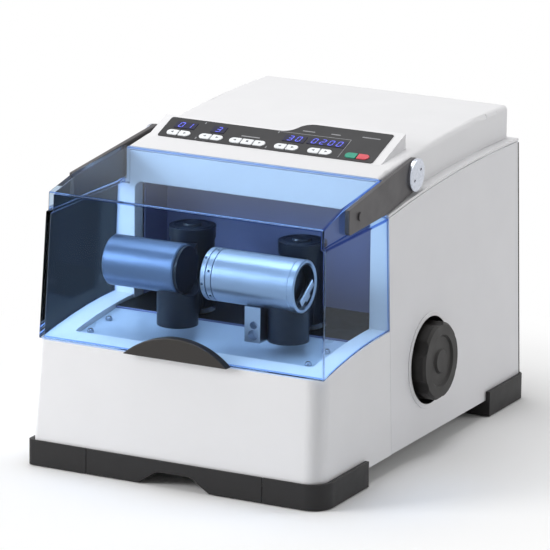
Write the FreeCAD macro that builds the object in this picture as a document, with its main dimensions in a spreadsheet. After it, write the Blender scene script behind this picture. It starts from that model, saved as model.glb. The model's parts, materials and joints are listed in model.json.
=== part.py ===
import FreeCAD, Part
import Sketcher
import math
import os
import re

# Cryogenic ball mill. Millimetres, +Z up, front towards -Y, right side towards +X.
# The origin is the centre of the footprint, on the surface that the rubber pads stand on.

V = FreeCAD.Vector
Z_UP = V(0, 0, 1)
doc = FreeCAD.newDocument("CryogenicMill")
dims = doc.addObject("Spreadsheet::Sheet", "Dims")

DRIVING = [
    ("foot_out", 5.58, "the feet stand out past the casing's sides"),
    ("foot_toe", 2, "and past its front"),
    ("rear_foot_wide", 41.6, "rear foot, across"),
    ("foot_low", 1, "gap between the surface and the feet"),
    ("foot_high", 31.5, "top of the feet"),
    ("foot_corner", 26, "plan corner radius of the feet, right"),
    ("foot_corner_left", 6, "plan corner radius of the front foot, left"),
    ("strip_joint", 114, "where the front strip is divided"),
    ("strip_return", 156, "the strip returns along the side to here"),
    ("strip_depth", 26, "front strip, front to back"),
    ("strip_width", 34, "side return, across"),
    ("arch_half", 46, "half width of the finger arch"),
    ("arch_high", 16, "finger arch height above the strip's lower edge"),
    ("arch_flat", 16, "half width of the arch's level top"),
    ("arch_shoulder", 30, "half width where the arch's sides become round"),
    ("arch_turn", 20, "radius of the arch's upper corners"),
    ("rear_foot_front", 169, "front end of the rear feet"),
    ("pad_radius", 11, "rubber pad"),
    ("pad_high", 4, "rubber pad height"),
    ("base_low", 20, "casing and base plate start here"),
    ("plate_thick", 3, "base plate"),
    ("case_half", 186.02, "casing half width at base_low"),
    ("plate_gap", 0.62, "base plate's clearance inside the casing wall"),
    ("case_slope", 0.0303, "side walls lean in by this much per millimetre"),
    ("case_wall", 5, "front casing wall"),
    ("case_front", 269.6, "front face at base_low"),
    ("front_slope", 0.08538, "front face leans back by this much per millimetre"),
    ("case_corner", 22, "front right vertical corner radius"),
    ("case_corner_left", 6, "front left vertical corner radius"),
    ("seam", 87.6, "joint between the front casing and the side panels"),
    ("rim_radius", 829, "radius of the curved deck seen from the side"),
    ("rim_high", 167, "highest line of the curved deck"),
    ("rim_rest", 88, "the deck is level at this distance in front of the origin"),
    ("tray_margin", 32.02, "deck left and right of the tray opening, at base_low"),
    ("tray_front", 227, "front edge of the tray opening"),
    ("tray_back", 128, "the tray ends and the chamber floor starts"),
    ("tray_floor", 150.5, "tray floor at its front edge"),
    ("tray_corner", 4, "tray corner radius"),
    ("tray_wall", 3, "tray sheet"),
    ("tray_gap", 0.3, "clearance round the tray"),
    ("deck_under", 142, "underside of the deck"),
    ("panel_thick", 3, "side and rear panels"),
    ("case_back", 265.8, "rear face"),
    ("panel_front_top", 300.3, "side panel's top edge at its front"),
    ("panel_back_top", 319, "side panel's top edge at its back"),
    ("panel_arc", 2118, "radius of the side panel's top edge"),
    ("cover_front", 87, "front edge of the top cover"),
    ("cover_in", 21.42, "the cover stands in from the casing's sides"),
    ("cover_wall", 4, "top cover wall"),
    ("cover_lean", 7.8, "rear face of the cover in front of the casing's"),
    ("roof_front", 345.4, "roof at its front edge"),
    ("roof_back", 362.9, "roof at its rear edge"),
    ("roof_arc", 2206, "radius of the roof's side view"),
    ("roof_thick", 6, "roof thickness"),
    ("ridge_round", 6, "roof edge radius"),
    ("ledge_out", 12.4, "the ledge stands out past the cover"),
    ("ledge_gap", 0.6, "dark gap under the ledge"),
    ("ledge_thick", 3, "ledge thickness"),
    ("console_tilt", 20.5, "slope of the console in degrees"),
    ("console_front", 47, "the console's plane meets the roof here"),
    ("console_high", 350.2, "height of the console's plane there"),
    ("console_end_left", 6.6, "roof left of the console"),
    ("console_end_right", 18.6, "roof right of the console"),
    ("console_back_left", 3, "rear edge of the low half"),
    ("console_back_right", 18, "rear edge of the high half"),
    ("membrane_thick", 0.8, "membrane panel"),
    ("key_wide", 14.8, "key pad width"),
    ("key_deep", 10.2, "key pad depth"),
    ("key_gap", 0.3, "clearance round a key"),
    ("key_line", 10.6, "key centres up the slope from the console's front line"),
    ("key_low", 3, "key stem below the console's plane"),
    ("key_proud", 1.9, "key top above the console's plane"),
    ("well_depth", 4.4, "key well under the membrane"),
    ("window_thick", 0.5, "display window"),
    ("frame_back", 67.6, "rear face of the bulkhead frame"),
    ("brow_gap", 0.4, "bulkhead's clearance inside the cover"),
    ("opening_frame", 7.2, "bulkhead each side of the chamber opening"),
    ("opening_low", 160, "chamber opening"),
    ("opening_high", 302, "chamber opening"),
    ("brow_high", 338.6, "top of the bulkhead under the roof"),
    ("liner_gap", 1, "liner's clearance inside the opening"),
    ("liner_back", 12, "rear face of the chamber liner"),
    ("liner_wall", 2, "chamber liner wall"),
    ("liner_top", 304.5, "top of the chamber liner"),
    ("floor_low", 160.3, "underside of the chamber floor"),
    ("floor_thick", 2.7, "chamber floor"),
    ("shaft_x", 71.5, "swing shafts each side of the middle"),
    ("shaft_y", 96, "swing shafts in front of the origin"),
    ("shaft_hole", 27.5, "hole in the chamber floor for a swing hub"),
    ("hood_gap", 1, "gap between the hood and the deck"),
    ("hood_wall", 4, "hood wall"),
    ("hood_back", 88.2, "rear edge of the hood"),
    ("hood_side_in", 4.02, "hood's lower side in from the casing's at base_low"),
    ("hood_upper_out", 4.3, "hood's upper side out from the cover"),
    ("hood_toe", 0.009, "lower side widens forwards by this much per millimetre"),
    ("hood_upper_toe", 0.047, "upper side widens forwards by this much per millimetre"),
    ("shelf_high", 304, "height where the upper side meets the slanted shelf"),
    ("shelf_fall", 0.45, "the shelf falls outwards by this much per millimetre"),
    ("hinge_y", 11, "hood hinge in front of the origin"),
    ("hinge_z", 335, "hood hinge height"),
    ("bar_thick", 6, "hood bar"),
    ("bar_end", 19.6, "hood bar end radius"),
    ("bar_front", 195, "front end of the hood bars"),
    ("pin_radius", 6, "hinge pin"),
    ("run_fit", 0.05, "running clearance on a radius"),
    ("disc_radius", 19.3, "hinge disc"),
    ("bar_gap", 0.6, "space between a hood bar and the hood's side"),
    ("hood_nose", 11.1, "hood's lower front edge behind the casing's front at base_low"),
    ("hood_top_y", 249.1, "hood's upper front edge in front of the origin"),
    ("hood_top_z", 322.5, "hood's upper front edge height"),
    ("hood_bend_y", 197.5, "bend in the hood's top, in front of the origin"),
    ("hood_bend_z", 334.6, "bend in the hood's top, height"),
    ("hood_back_top", 345.2, "hood's top at its rear edge"),
    ("bar_low", 303.3, "lower edge of the hood bars at their front end"),
    ("bar_top", 333, "upper edge of the hood bars at their front end"),
    ("handle_low", 150.4, "underside of the handle"),
    ("handle_half", 67, "handle half width"),
    ("handle_high", 26, "handle height"),
    ("handle_proud", 13, "handle depth"),
    ("cylinder_y", 195, "cylinder axis in front of the origin"),
    ("cylinder_z", 238, "cylinder axis height"),
    ("weight_left", 121.5, "counterweight's left end"),
    ("weight_right", 29.2, "counterweight's right end"),
    ("weight_radius", 29.5, "counterweight"),
    ("holder_left", 6.8, "jar holder's left end"),
    ("holder_shoulder", 22.4, "right side of the lock rings"),
    ("holder_right", 126.5, "jar holder's open right end"),
    ("holder_radius", 30.5, "jar holder"),
    ("holder_bore", 25, "jar holder bore"),
    ("spigot_radius", 20, "threaded spigot under the lock rings"),
    ("jar_play", 0.1, "clearance round the grinding jar"),
    ("hub_radius", 26, "swing arm hub"),
    ("hub_low", 168, "underside of the swing hub"),
    ("hub_high", 249, "top of the swing hub"),
    ("cap_radius", 27.5, "cap disc on the swing shaft"),
    ("cap_high", 263, "top of the cap disc"),
    ("arm_reach_x", 32, "arm end to the right of its shaft"),
    ("arm_reach_y", 94, "arm end in front of its shaft"),
    ("arm_low", 171, "underside of the arm"),
    ("arm_high", 204, "top of the arm beam"),
    ("arm_wide", 17, "half width of the arm beam"),
    ("web_wide", 10, "half width of the web behind the cylinder"),
    ("web_high", 262, "top of the web"),
    ("boss_high", 222, "top of the arm's saddle before it is cut to the cylinder"),
    ("boss_radius", 24, "arm end boss"),
    ("shaft_radius", 10, "swing and eccentric shafts"),
    ("housing_radius", 30, "bearing housing"),
    ("housing_high", 118, "top of the bearing housings"),
    ("lever_low", 121, "underside of the swing levers"),
    ("lever_high", 129.5, "top of the swing levers"),
    ("lever_reach", 60, "lever length between its centres"),
    ("lever_pin", 6, "lever pin radius"),
    ("rod_low", 130, "underside of the left rod"),
    ("rod_thick", 6, "connecting rods"),
    ("rod_gap", 2, "height between the two rods"),
    ("ring_bore", 22, "rod ring bore"),
    ("ring_radius", 30, "rod ring"),
    ("drive_y", 36, "eccentric shaft in front of the origin"),
    ("eccentric", 4, "throw of the eccentric discs"),
    ("disc_a", 21.5, "eccentric disc radius"),
    ("pulley_low", 104, "underside of the pulleys"),
    ("pulley_thick", 15, "pulley thickness"),
    ("pulley_radius", 56, "driven pulley"),
    ("motor_y", 130, "motor axis behind the origin"),
    ("motor_radius", 45, "motor body"),
    ("motor_high", 96, "top of the motor"),
    ("motor_pulley_radius", 22, "motor pulley"),
    ("belt_thick", 3, "belt"),
    ("belt_gap", 0.3, "space between belt and pulleys"),
    ("wheel_y", 16, "handwheel axis behind the origin"),
    ("wheel_z", 108.5, "handwheel axis height"),
    ("bezel_radius", 57, "handwheel bezel"),
    ("bezel_proud", 1.5, "bezel thickness outside the panel"),
    ("recess_radius", 51.5, "recess round the handwheel"),
    ("recess_depth", 15, "recess depth below the panel's face"),
    ("knob_radius", 46, "handwheel"),
    ("knob_proud", 16, "handwheel face outside the panel"),
    ("knob_scoop", 22, "radius of the six scallops round the handwheel"),
    ("knob_bite", 3.5, "depth of a scallop"),
    ("spindle_radius", 8, "handwheel spindle"),
    ("rear_reach", 305.4, "rear end of the coolant inlet"),
    ("port_z", 232, "height of the two coolant connectors"),
    ("port_x", 62, "coolant connectors each side of the middle"),
    ("mains_x", 96, "mains inlet to the left of the middle"),
    ("mains_z", 74, "mains inlet height"),
]
FITTED = [
    ("foot_half", "case_half + foot_out", "half width over the black feet"),
    ("foot_front", "case_front + foot_toe", "feet reach this far in front of and behind the origin"),
    ("rear_foot_inner", "foot_half - rear_foot_wide", "inner end of the rear feet"),
    ("plate_half", "case_half - case_wall - plate_gap", "base plate half width"),
    ("tray_half", "case_half - tray_margin", "half width of the tray opening"),
    ("cover_half", "case_half - cover_in", "half width of the top cover"),
    ("cover_back", "case_back - cover_lean", "rear face of the top cover"),
    ("ledge_half", "cover_half + ledge_out", "half width of the cover's ledge"),
    ("console_left", "cover_half - console_end_left", "console's left end"),
    ("console_right", "cover_half - console_end_right", "console's right end"),
    ("brow_half", "cover_half - cover_wall - brow_gap", "bulkhead half width inside the cover"),
    ("opening_half", "brow_half - opening_frame", "half width of the chamber opening"),
    ("liner_half", "opening_half - liner_gap", "chamber liner half width"),
    ("hood_side", "case_half - hood_side_in", "hood half width low at its rear edge"),
    ("hood_upper", "cover_half + hood_upper_out", "hood half width high at its rear edge"),
    ("hood_low_y", "case_front - hood_nose", "hood's lower front edge in front of the origin"),
]
ALIASES = {row[0] for row in DRIVING + FITTED}
for line, (alias, value, note) in enumerate(DRIVING + FITTED, 1):
    dims.set("A%d" % line, note)
    dims.set("B%d" % line, ("=" if isinstance(value, str) else "") + str(value))
    dims.setAlias("B%d" % line, alias)
doc.recompute()


def bound(expression):
    """The expression with each alias written as a reference to the sheet."""
    def named(match):
        word = match.group(0)
        return "Dims." + word if word in ALIASES else word
    return re.sub(r"[a-z][a-z_0-9]*", named, str(expression))


def num(expression):
    """The value of an expression of sheet aliases."""
    result = dims.evalExpression(str(expression))
    return float(getattr(result, "Value", result))


def bind(item, prop, expression):
    """Set a property from an expression and keep it bound."""
    item.setExpression(prop, bound(expression))


def place(item, at=("0", "0", "0"), rotation=None):
    """Give an object its placement, with its position bound to the sheet."""
    item.Placement = FreeCAD.Placement(V(*[num(value) for value in at]), rotation or FreeCAD.Rotation())
    for axis, value in zip("xyz", at):
        bind(item, "Placement.Base." + axis, value)
    return item


def aimed(direction):
    """Rotation that turns the vertical to a direction."""
    return FreeCAD.Rotation(Z_UP, V(*direction))


def new_body(label):
    return doc.addObject("PartDesign::Body", label)


def arc_between(start, end, radius, turn):
    """Minor arc, counterclockwise when turn is 1 and clockwise when it is -1."""
    middle = (start + end) * 0.5
    chord = end - start
    side = V(-chord.y, chord.x, 0).normalize() * turn
    height = math.sqrt(max(radius ** 2 - chord.Length ** 2 / 4, 0))
    centre = middle + side * height
    first = math.atan2(start.y - centre.y, start.x - centre.x)
    last = math.atan2(end.y - centre.y, end.x - centre.x)
    if turn < 0:
        first, last = last, first
    return Part.ArcOfCircle(Part.Circle(centre, Z_UP, radius), first, last)


def draw_loop(sketch, points):
    """Closed outline of (x, y) corners; (x, y, radius, turn) starts an arc to the next corner."""
    base = sketch.GeometryCount
    count = len(points)
    spots = [V(num(point[0]), num(point[1]), 0) for point in points]
    begins, ends = [], []
    for i, point in enumerate(points):
        start, end = spots[i], spots[(i + 1) % count]
        if len(point) == 4:
            sketch.addGeometry(arc_between(start, end, num(point[2]), point[3]))
            begins.append(1 if point[3] > 0 else 2)
            ends.append(2 if point[3] > 0 else 1)
        else:
            sketch.addGeometry(Part.LineSegment(start, end))
            begins.append(1)
            ends.append(2)
    for i in range(count):
        after = (i + 1) % count
        sketch.addConstraint(Sketcher.Constraint("Coincident", base + i, ends[i], base + after, begins[after]))
    for i, point in enumerate(points):
        for kind, value, number in (("DistanceX", point[0], spots[i].x), ("DistanceY", point[1], spots[i].y)):
            index = sketch.addConstraint(Sketcher.Constraint(kind, -1, 1, base + i, begins[i], number))
            sketch.setExpression("Constraints[%d]" % index, bound(value))
        if len(point) == 4:
            index = sketch.addConstraint(Sketcher.Constraint("Radius", base + i, num(point[2])))
            sketch.setExpression("Constraints[%d]" % index, bound(point[2]))


def draw_circle(sketch, x, y, radius):
    """Circle with its centre and radius bound to the sheet."""
    index = sketch.addGeometry(Part.Circle(V(num(x), num(y), 0), Z_UP, num(radius)))
    for kind, value in (("DistanceX", x), ("DistanceY", y)):
        spot = sketch.addConstraint(Sketcher.Constraint(kind, -1, 1, index, 3, num(value)))
        sketch.setExpression("Constraints[%d]" % spot, bound(value))
    size = sketch.addConstraint(Sketcher.Constraint("Radius", index, num(radius)))
    sketch.setExpression("Constraints[%d]" % size, bound(radius))


def sketch_on(body, plane, lift, loops):
    """Sketch on one of the body's origin planes, lifted along its normal."""
    sketch = body.newObject("Sketcher::SketchObject", body.Name + "_sketch")
    support = [item for item in body.Origin.OriginFeatures if item.Role == plane + "_Plane"][0]
    sketch.AttachmentSupport = [(support, "")]
    sketch.MapMode = "FlatFace"
    sketch.AttachmentOffset = FreeCAD.Placement(V(0, 0, num(lift)), FreeCAD.Rotation())
    sketch.setExpression("AttachmentOffset.Base.z", bound(lift))
    for loop in loops:
        if loop[0] == "circle":
            draw_circle(sketch, *loop[1:])
        else:
            draw_loop(sketch, loop)
    sketch.Visibility = False
    return sketch


def pad(body, plane, loops, start, end):
    """Add material between two stations along the plane's axis."""
    lift = "-(%s)" % end if plane == "XZ" else start
    feature = body.newObject("PartDesign::Pad", body.Name + "_pad")
    feature.Profile = sketch_on(body, plane, lift, loops)
    bind(feature, "Length", "(%s) - (%s)" % (end, start))
    doc.recompute()
    return body


def pocket(body, plane, loops, start, end):
    """Cut between two stations along the plane's axis."""
    lift = "-(%s)" % start if plane == "XZ" else end
    before = body.Shape.Volume
    feature = body.newObject("PartDesign::Pocket", body.Name + "_pocket")
    feature.Profile = sketch_on(body, plane, lift, loops)
    bind(feature, "Length", "(%s) - (%s)" % (end, start))
    doc.recompute()
    if not body.Shape.Volume < before - 0.01:
        raise ValueError("pocket cut nothing in " + body.Name)
    return body


def revolve(body, loops, cut=False):
    """Turn an outline of (radius, height) about the body's vertical axis."""
    kind = "PartDesign::Groove" if cut else "PartDesign::Revolution"
    feature = body.newObject(kind, body.Name + "_turned")
    feature.Profile = sketch_on(body, "XZ", "0", loops)
    feature.ReferenceAxis = (feature.Profile[0], ["V_Axis"])
    feature.Angle = 360
    doc.recompute()
    return body


def round_edges(body, radius, chosen):
    """Fillet the edges whose middle point passes the test."""
    base = body.Tip
    names = []
    for i, edge in enumerate(body.Shape.Edges, 1):
        middle = edge.valueAt((edge.FirstParameter + edge.LastParameter) / 2)
        if chosen(middle, edge):
            names.append("Edge%d" % i)
    feature = body.newObject("PartDesign::Fillet", body.Name + "_fillet")
    feature.Base = (base, names)
    bind(feature, "Radius", radius)
    doc.recompute()
    return body


def rectangle(x_low, x_high, y_low, y_high):
    return [(x_low, y_low), (x_high, y_low), (x_high, y_high), (x_low, y_high)]


def rounded(x_low, x_high, y_low, y_high, radius):
    """Rectangle with four rounded corners."""
    near_x, far_x = "%s + %s" % (x_low, radius), "%s - %s" % (x_high, radius)
    near_y, far_y = "%s + %s" % (y_low, radius), "%s - %s" % (y_high, radius)
    return [
        (near_x, y_low), (far_x, y_low, radius, 1), (x_high, near_y), (x_high, far_y, radius, 1),
        (far_x, y_high), (near_x, y_high, radius, 1), (x_low, far_y), (x_low, near_y, radius, 1),
    ]


def cylinder(name, radius, length, at, direction=(0, 0, 1)):
    """Part cylinder from a point along a direction."""
    item = doc.addObject("Part::Cylinder", name)
    bind(item, "Radius", radius)
    bind(item, "Height", length)
    return place(item, at, aimed(direction))


def block(name, x_low, x_high, y_low, y_high, z_low, z_high):
    """Part box between six bound values."""
    item = doc.addObject("Part::Box", name)
    bind(item, "Length", "(%s) - (%s)" % (x_high, x_low))
    bind(item, "Width", "(%s) - (%s)" % (y_high, y_low))
    bind(item, "Height", "(%s) - (%s)" % (z_high, z_low))
    return place(item, (x_low, y_low, z_low))


def joined(label, items):
    result = doc.addObject("Part::MultiFuse", label)
    result.Shapes = items
    return result


def less(label, base, tool):
    result = doc.addObject("Part::Cut", label)
    result.Base = base
    result.Tool = tool
    return result


kept = []


def keep(item, label):
    """Name a finished sub-part."""
    item.Label = label
    kept.append(item)
    return item


def half_at(height):
    """Casing half width at a height."""
    return "(case_half - case_slope * (%s - base_low))" % height


def front_at(height):
    """Front face of the casing at a height."""
    return "(front_slope * (%s - base_low) - case_front)" % height


def casing_plan(height, inset, corner, back):
    """Plan outline of the front casing at a height, set in from its face."""
    left = corner.replace("case_corner", "case_corner_left")
    half = "(%s - %s)" % (half_at(height), inset)
    front = "(%s + %s)" % (front_at(height), inset)
    return [
        (half, back), ("-" + half, back), ("-" + half, "%s + %s" % (front, left), left, 1),
        ("%s - %s" % (left, half), front), ("%s - %s" % (half, corner), front, corner, 1),
        (half, "%s + %s" % (front, corner)),
    ]


def loft(body, plane, low, low_loops, high, high_loops, cut=False):
    """Straight-sided loft between two sketches on the same plane."""
    kind = "PartDesign::SubtractiveLoft" if cut else "PartDesign::AdditiveLoft"
    first = sketch_on(body, plane, low, low_loops)
    second = sketch_on(body, plane, high, high_loops)
    feature = body.newObject(kind, body.Name + "_loft")
    feature.Profile = first
    feature.Sections = [second]
    feature.Ruled = True
    doc.recompute()
    return body


def rim_at(distance, extra="0"):
    """Height of the curved deck at a distance in front of the origin."""
    run = "(%s - rim_rest)" % distance
    return "(rim_high - rim_radius + sqrt(rim_radius^2 - %s^2) + %s)" % (run, extra)


# Front casing: leaning walls, a deck curved in side view, open below and behind.
casing = new_body("front_casing")
deck_over = "(rim_high + 5)"
loft(casing, "XY", "base_low", [casing_plan("base_low", "0", "case_corner", "-seam")],
     deck_over, [casing_plan(deck_over, "0", "case_corner", "-seam")])
above_deck = [
    ("-280", rim_at("280"), "rim_radius", -1), ("-rim_rest", "rim_high"), ("-80", "rim_high"),
    ("-80", "200"), ("-280", "200"),
]
pocket(casing, "YZ", [above_deck], "-200", "200")
loft(casing, "XY", "base_low", [casing_plan("base_low", "case_wall", "case_corner - case_wall", "-80")],
     "deck_under", [casing_plan("deck_under", "case_wall", "case_corner - case_wall", "-80")], cut=True)
pocket(casing, "XY", [rounded("-tray_half", "tray_half", "-tray_front", "-60", "tray_corner")],
       "deck_under - 1", "200")
keep(casing, "front_casing")

# Tray in the deck: a pan whose floor rises to the chamber floor, with a flange under the deck.
tray = new_body("chamber_tray")
pan_front, pan_half = "(tray_gap - tray_front)", "(tray_half - tray_gap)"
pan_rear = "(-tray_back - tray_wall)"
pad(tray, "YZ", [[
    (pan_front, "deck_under - tray_wall"), ("-tray_back", "deck_under - tray_wall"), ("-tray_back", "floor_low"),
    (pan_rear, "floor_low"), (pan_front, "tray_floor"),
]], "-" + pan_half, pan_half)
round_edges(tray, "tray_corner", lambda middle, edge: abs(middle.y - num(pan_front)) < 0.01
            and abs(abs(middle.x) - num(pan_half)) < 0.01)
pad(tray, "XY", [rectangle("-tray_half - 6", "tray_half + 6", "-tray_front - 6", "-tray_back")],
    "deck_under - tray_wall", "deck_under")
pocket(tray, "YZ", [[
    (pan_front + " + tray_wall", "deck_under - 5"), (pan_rear, "deck_under - 5"),
    (pan_rear, "floor_low - tray_wall"), (pan_front + " + tray_wall", "tray_floor - tray_wall"),
]], "tray_wall - %s" % pan_half, pan_half + " - tray_wall")
keep(tray, "chamber_tray")


def tray_at(distance):
    """Height of the tray's sloping floor at a distance in front of the origin."""
    return "(tray_floor + (floor_low - tray_floor) * (%s + %s) / (%s - %s))" % (
        "-" + distance, "tray_front - tray_gap", pan_rear, pan_front)


screws = []
for name, side in (("left", "-"), ("right", "")):
    for row, distance in (("front", "(tray_front - 14)"), ("rear", "(tray_back + 42)")):
        at = ("%s(tray_half - 13)" % side, "-%s" % distance, tray_at("(%s - 4)" % distance))
        screws.append(cylinder("tray_screw_%s_%s" % (row, name), "4", "2.2", at))
keep(joined("tray_screws", screws), "tray_screws")

# Chamber: a dark box behind the opening, with its floor carried forwards to the tray.
floor_top = "(floor_low + floor_thick)"
box_outer = block("liner_outer", "-liner_half", "liner_half", "-frame_back", "-liner_back", "floor_low", "liner_top")
box_inner = block("liner_inner", "liner_wall - liner_half", "liner_half - liner_wall", "-frame_back - 1",
                  "-liner_back - liner_wall", floor_top, "liner_top - liner_wall")
floor_through = block("liner_floor", "-liner_half", "liner_half", "-frame_back - 25", "-frame_back",
                      "floor_low", floor_top)
floor_front = block("liner_front", "0.3 - tray_half", "tray_half - 0.3", "-tray_back - 3", "-seam - 0.3",
                    "floor_low", floor_top)
liner = joined("liner_whole", [less("liner_box", box_outer, box_inner), floor_through, floor_front])
holes = [cylinder("floor_hole_" + name, "shaft_hole", "10", (side + "shaft_x", "-shaft_y", "floor_low - 4"))
         for name, side in (("left", "-"), ("right", ""))]
keep(less("chamber_liner", liner, joined("floor_holes", holes)), "chamber_liner")

# Bulkhead: the frame round the chamber opening, between the side panels and up into the cover.
frame_low = "(base_low + plate_thick)"
leg_top = "(panel_front_top - 1.3)"


def leg_half(height):
    return "(%s - panel_thick - 0.3)" % half_at(height)


bulkhead = new_body("bulkhead_blank")
under_rail = "(opening_low - 10.5)"
outline = [
    ("-" + leg_half(frame_low), frame_low), ("-150", frame_low), ("-150", under_rail), ("150", under_rail),
    ("150", frame_low), (leg_half(frame_low), frame_low), (leg_half(leg_top), leg_top),
    ("brow_half", leg_top), ("brow_half", "brow_high"), ("-brow_half", "brow_high"), ("-brow_half", leg_top),
    ("-" + leg_half(leg_top), leg_top),
]
opening = [
    ("-opening_half", "opening_low"), ("opening_half", "opening_low"), ("opening_half", "opening_high - 8", "8", 1),
    ("opening_half - 8", "opening_high"), ("8 - opening_half", "opening_high", "8", 1),
    ("-opening_half", "opening_high - 8"),
]
pad(bulkhead, "XZ", [outline, opening], "-seam", "-frame_back")
notches = [cylinder("rail_notch_" + name, "shaft_radius + 2.5", "20", (side + "shaft_x", "-shaft_y", "opening_low - 15"))
           for name, side in (("left", "-"), ("right", ""))]
keep(less("bulkhead_frame_cut", bulkhead, joined("rail_notches", notches)), "bulkhead_frame")

# Side panels: leaning sheets, the right one with a hole for the handwheel's recess.
panel = new_body("panel_blank")
panel_outline = [
    ("-cover_front", "0"), ("case_back", "0"), ("case_back", "panel_back_top - base_low", "panel_arc", 1),
    ("-cover_front", "panel_front_top - base_low"),
]
pad(panel, "YZ", [panel_outline], "-panel_thick", "0")


def tilted(item, at, axis, angle):
    """Place an object turned about an axis by an angle in degrees, bound to the sheet."""
    place(item, at, FreeCAD.Rotation(V(*axis), num(angle)))
    bind(item, "Placement.Rotation.Angle", angle)
    return item


lean = "atan(case_slope) / 1 deg"
tilted(panel, ("case_half", "0", "base_low + 0.1"), (0, -1, 0), lean)
mirrored = doc.addObject("Part::Mirroring", "side_panel_left")
mirrored.Source = panel
mirrored.Normal = V(1, 0, 0)
keep(mirrored, "side_panel_left")
wheel_face = half_at("(wheel_z - 0.1)")
wheel_hole = cylinder("wheel_hole", "recess_radius + 3.2", "40", (wheel_face + " - 20", "wheel_y", "wheel_z"),
                      (1, 0, num("case_slope")))
keep(less("side_panel_right", panel, wheel_hole), "side_panel_right")

# Top cover: a roof with rounded ridges, ledges above the side panels and the console's wedge.
cover = new_body("cover_shell")
ledge_low_front = "panel_front_top + ledge_gap"
ledge_low_back = "panel_back_top + ledge_gap"
pad(cover, "YZ", [[
    ("-cover_front", ledge_low_front, "panel_arc", -1), ("cover_back", ledge_low_back + " + 0.2"),
    ("cover_back", "roof_back", "roof_arc", 1), ("-cover_front", "roof_front"),
]], "-cover_half", "cover_half")
round_edges(cover, "ridge_round", lambda middle, edge: abs(middle.x) > num("cover_half") - 1 and middle.z > 350
            and abs(middle.y) < num("cover_back") - 20)
pad(cover, "YZ", [[
    ("-cover_front", ledge_low_front, "panel_arc", -1), ("case_back", ledge_low_back),
    ("case_back", ledge_low_back + " + ledge_thick", "panel_arc", 1),
    ("-cover_front", ledge_low_front + " + ledge_thick"),
]], "-ledge_half", "ledge_half")
wedge = [
    ("-console_left", "-console_front - 1.5"), ("console_right", "-console_front - 1.5"),
    ("console_right", "console_back_right"), ("38", "console_back_right", "30.6", 1),
    ("15", "(console_back_right - console_back_left) / 2", "30.6", -1), ("-8", "-console_back_left"),
    ("-console_left", "-console_back_left"),
]
pad(cover, "XY", [wedge], "roof_front - 2", "console_high + 34")
wedge_end = "(console_back_right + 5)"
pocket(cover, "YZ", [[
    ("-console_front", "console_high"),
    (wedge_end, "console_high + (%s + console_front) * tan(console_tilt)" % wedge_end),
    (wedge_end, "console_high + 60"), ("-console_front - 20", "console_high + 60"),
    ("-console_front - 20", "console_high + 0.3"),
]], "-ledge_half", "ledge_half")
pocket(cover, "YZ", [[
    ("-cover_front - 1", "opening_high - 12"), ("cover_back - cover_wall", "opening_high - 12"),
    ("cover_back - cover_wall", "roof_back - roof_thick", "roof_arc", 1),
    ("-cover_front - 1", "roof_front - roof_thick"),
]], "cover_wall - cover_half", "cover_half - cover_wall")
pocket(cover, "YZ", [("circle", "-hinge_y", "hinge_z", "pin_radius")], "-cover_half - 1", "cover_half + 1")


def slope_spot(x, up, out):
    """Point in the console's frame: across, up the slope, and out of the slope."""
    return (x, "%s * cos(console_tilt) - %s * sin(console_tilt) - console_front" % (up, out),
            "%s * sin(console_tilt) + %s * cos(console_tilt) + console_high" % (up, out))


def on_slope(item, x="0", up="0", out="0"):
    return tilted(item, slope_spot(x, up, "(%s)" % out), (1, 0, 0), "console_tilt")


# Key name, centre across, and which end is round.
KEYS = [
    ("memory_down", -131, -1), ("memory_up", -115, 1), ("cycle_down", -88, -1), ("cycle_up", -72, 1),
    ("mode_left", -48, -1), ("mode_centre", -32, 0), ("mode_right", -16, 1), ("frequency_down", 11, -1),
    ("frequency_up", 27, 1), ("time_down", 54.5, -1), ("time_up", 70.5, 1), ("start", 103, -1), ("stop", 119, 1),
]


def key_outline(x, y, end, grow):
    """Key pad outline with one round end, grown by a clearance."""
    half, deep = "(key_wide / 2 + %s)" % grow, "(key_deep / 2 + %s)" % grow
    low, high = "%s - %s" % (y, deep), "%s + %s" % (y, deep)
    left, right = "%s - %s" % (x, half), "%s + %s" % (x, half)
    if end < 0:
        return [(left + " + " + deep, low), (right, low), (right, high), (left + " + " + deep, high, deep, 1),
                (left, y, deep, 1)]
    if end > 0:
        return [(left, low), (right + " - " + deep, low, deep, 1), (right, y, deep, 1),
                (right + " - " + deep, high), (left, high)]
    return rectangle(left, right, low, high)


well = doc.addObject("Part::Box", "key_well")
bind(well, "Length", "275")
bind(well, "Width", "key_deep + 3")
bind(well, "Height", "well_depth + 10")
on_slope(well, "-143.5", "(key_line - key_deep / 2 - 1.5)", "-well_depth")
keep(less("top_cover", cover, well), "top_cover")

# Membrane panel on the console, with a hole for each key, and the display windows on it.
membrane = new_body("membrane_panel")
sheet_outline = [
    ("-147", "1"), ("134.5", "1"), ("134.5", "63"), ("33", "63", "22.5", 1), ("14.5", "52.5", "22.5", -1),
    ("-4", "42"), ("-147", "42"),
]
key_holes = [key_outline(str(x), "key_line", end, "key_gap") for name, x, end in KEYS]
pad(membrane, "XY", [sheet_outline] + key_holes, "0", "membrane_thick")
round_edges(membrane, "3", lambda middle, edge: edge.Length < 1 and (abs(middle.x + 147) < 1 or middle.x > 133))
on_slope(membrane)
keep(membrane, "membrane_panel")
WINDOWS = [(-121.5, 27.5, 27, 13), (-77.5, 27.5, 18, 13), (21.5, 29, 28, 13), (63.5, 29.5, 49, 13)]
windows = []
for i, (x, up, wide, deep) in enumerate(WINDOWS):
    window = doc.addObject("Part::Box", "window_%d" % (i + 1))
    bind(window, "Length", wide)
    bind(window, "Width", deep)
    bind(window, "Height", "window_thick")
    on_slope(window, str(x - wide / 2), str(up - deep / 2), "membrane_thick")
    windows.append(window)
keep(joined("display_windows", windows), "display_windows")
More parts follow.
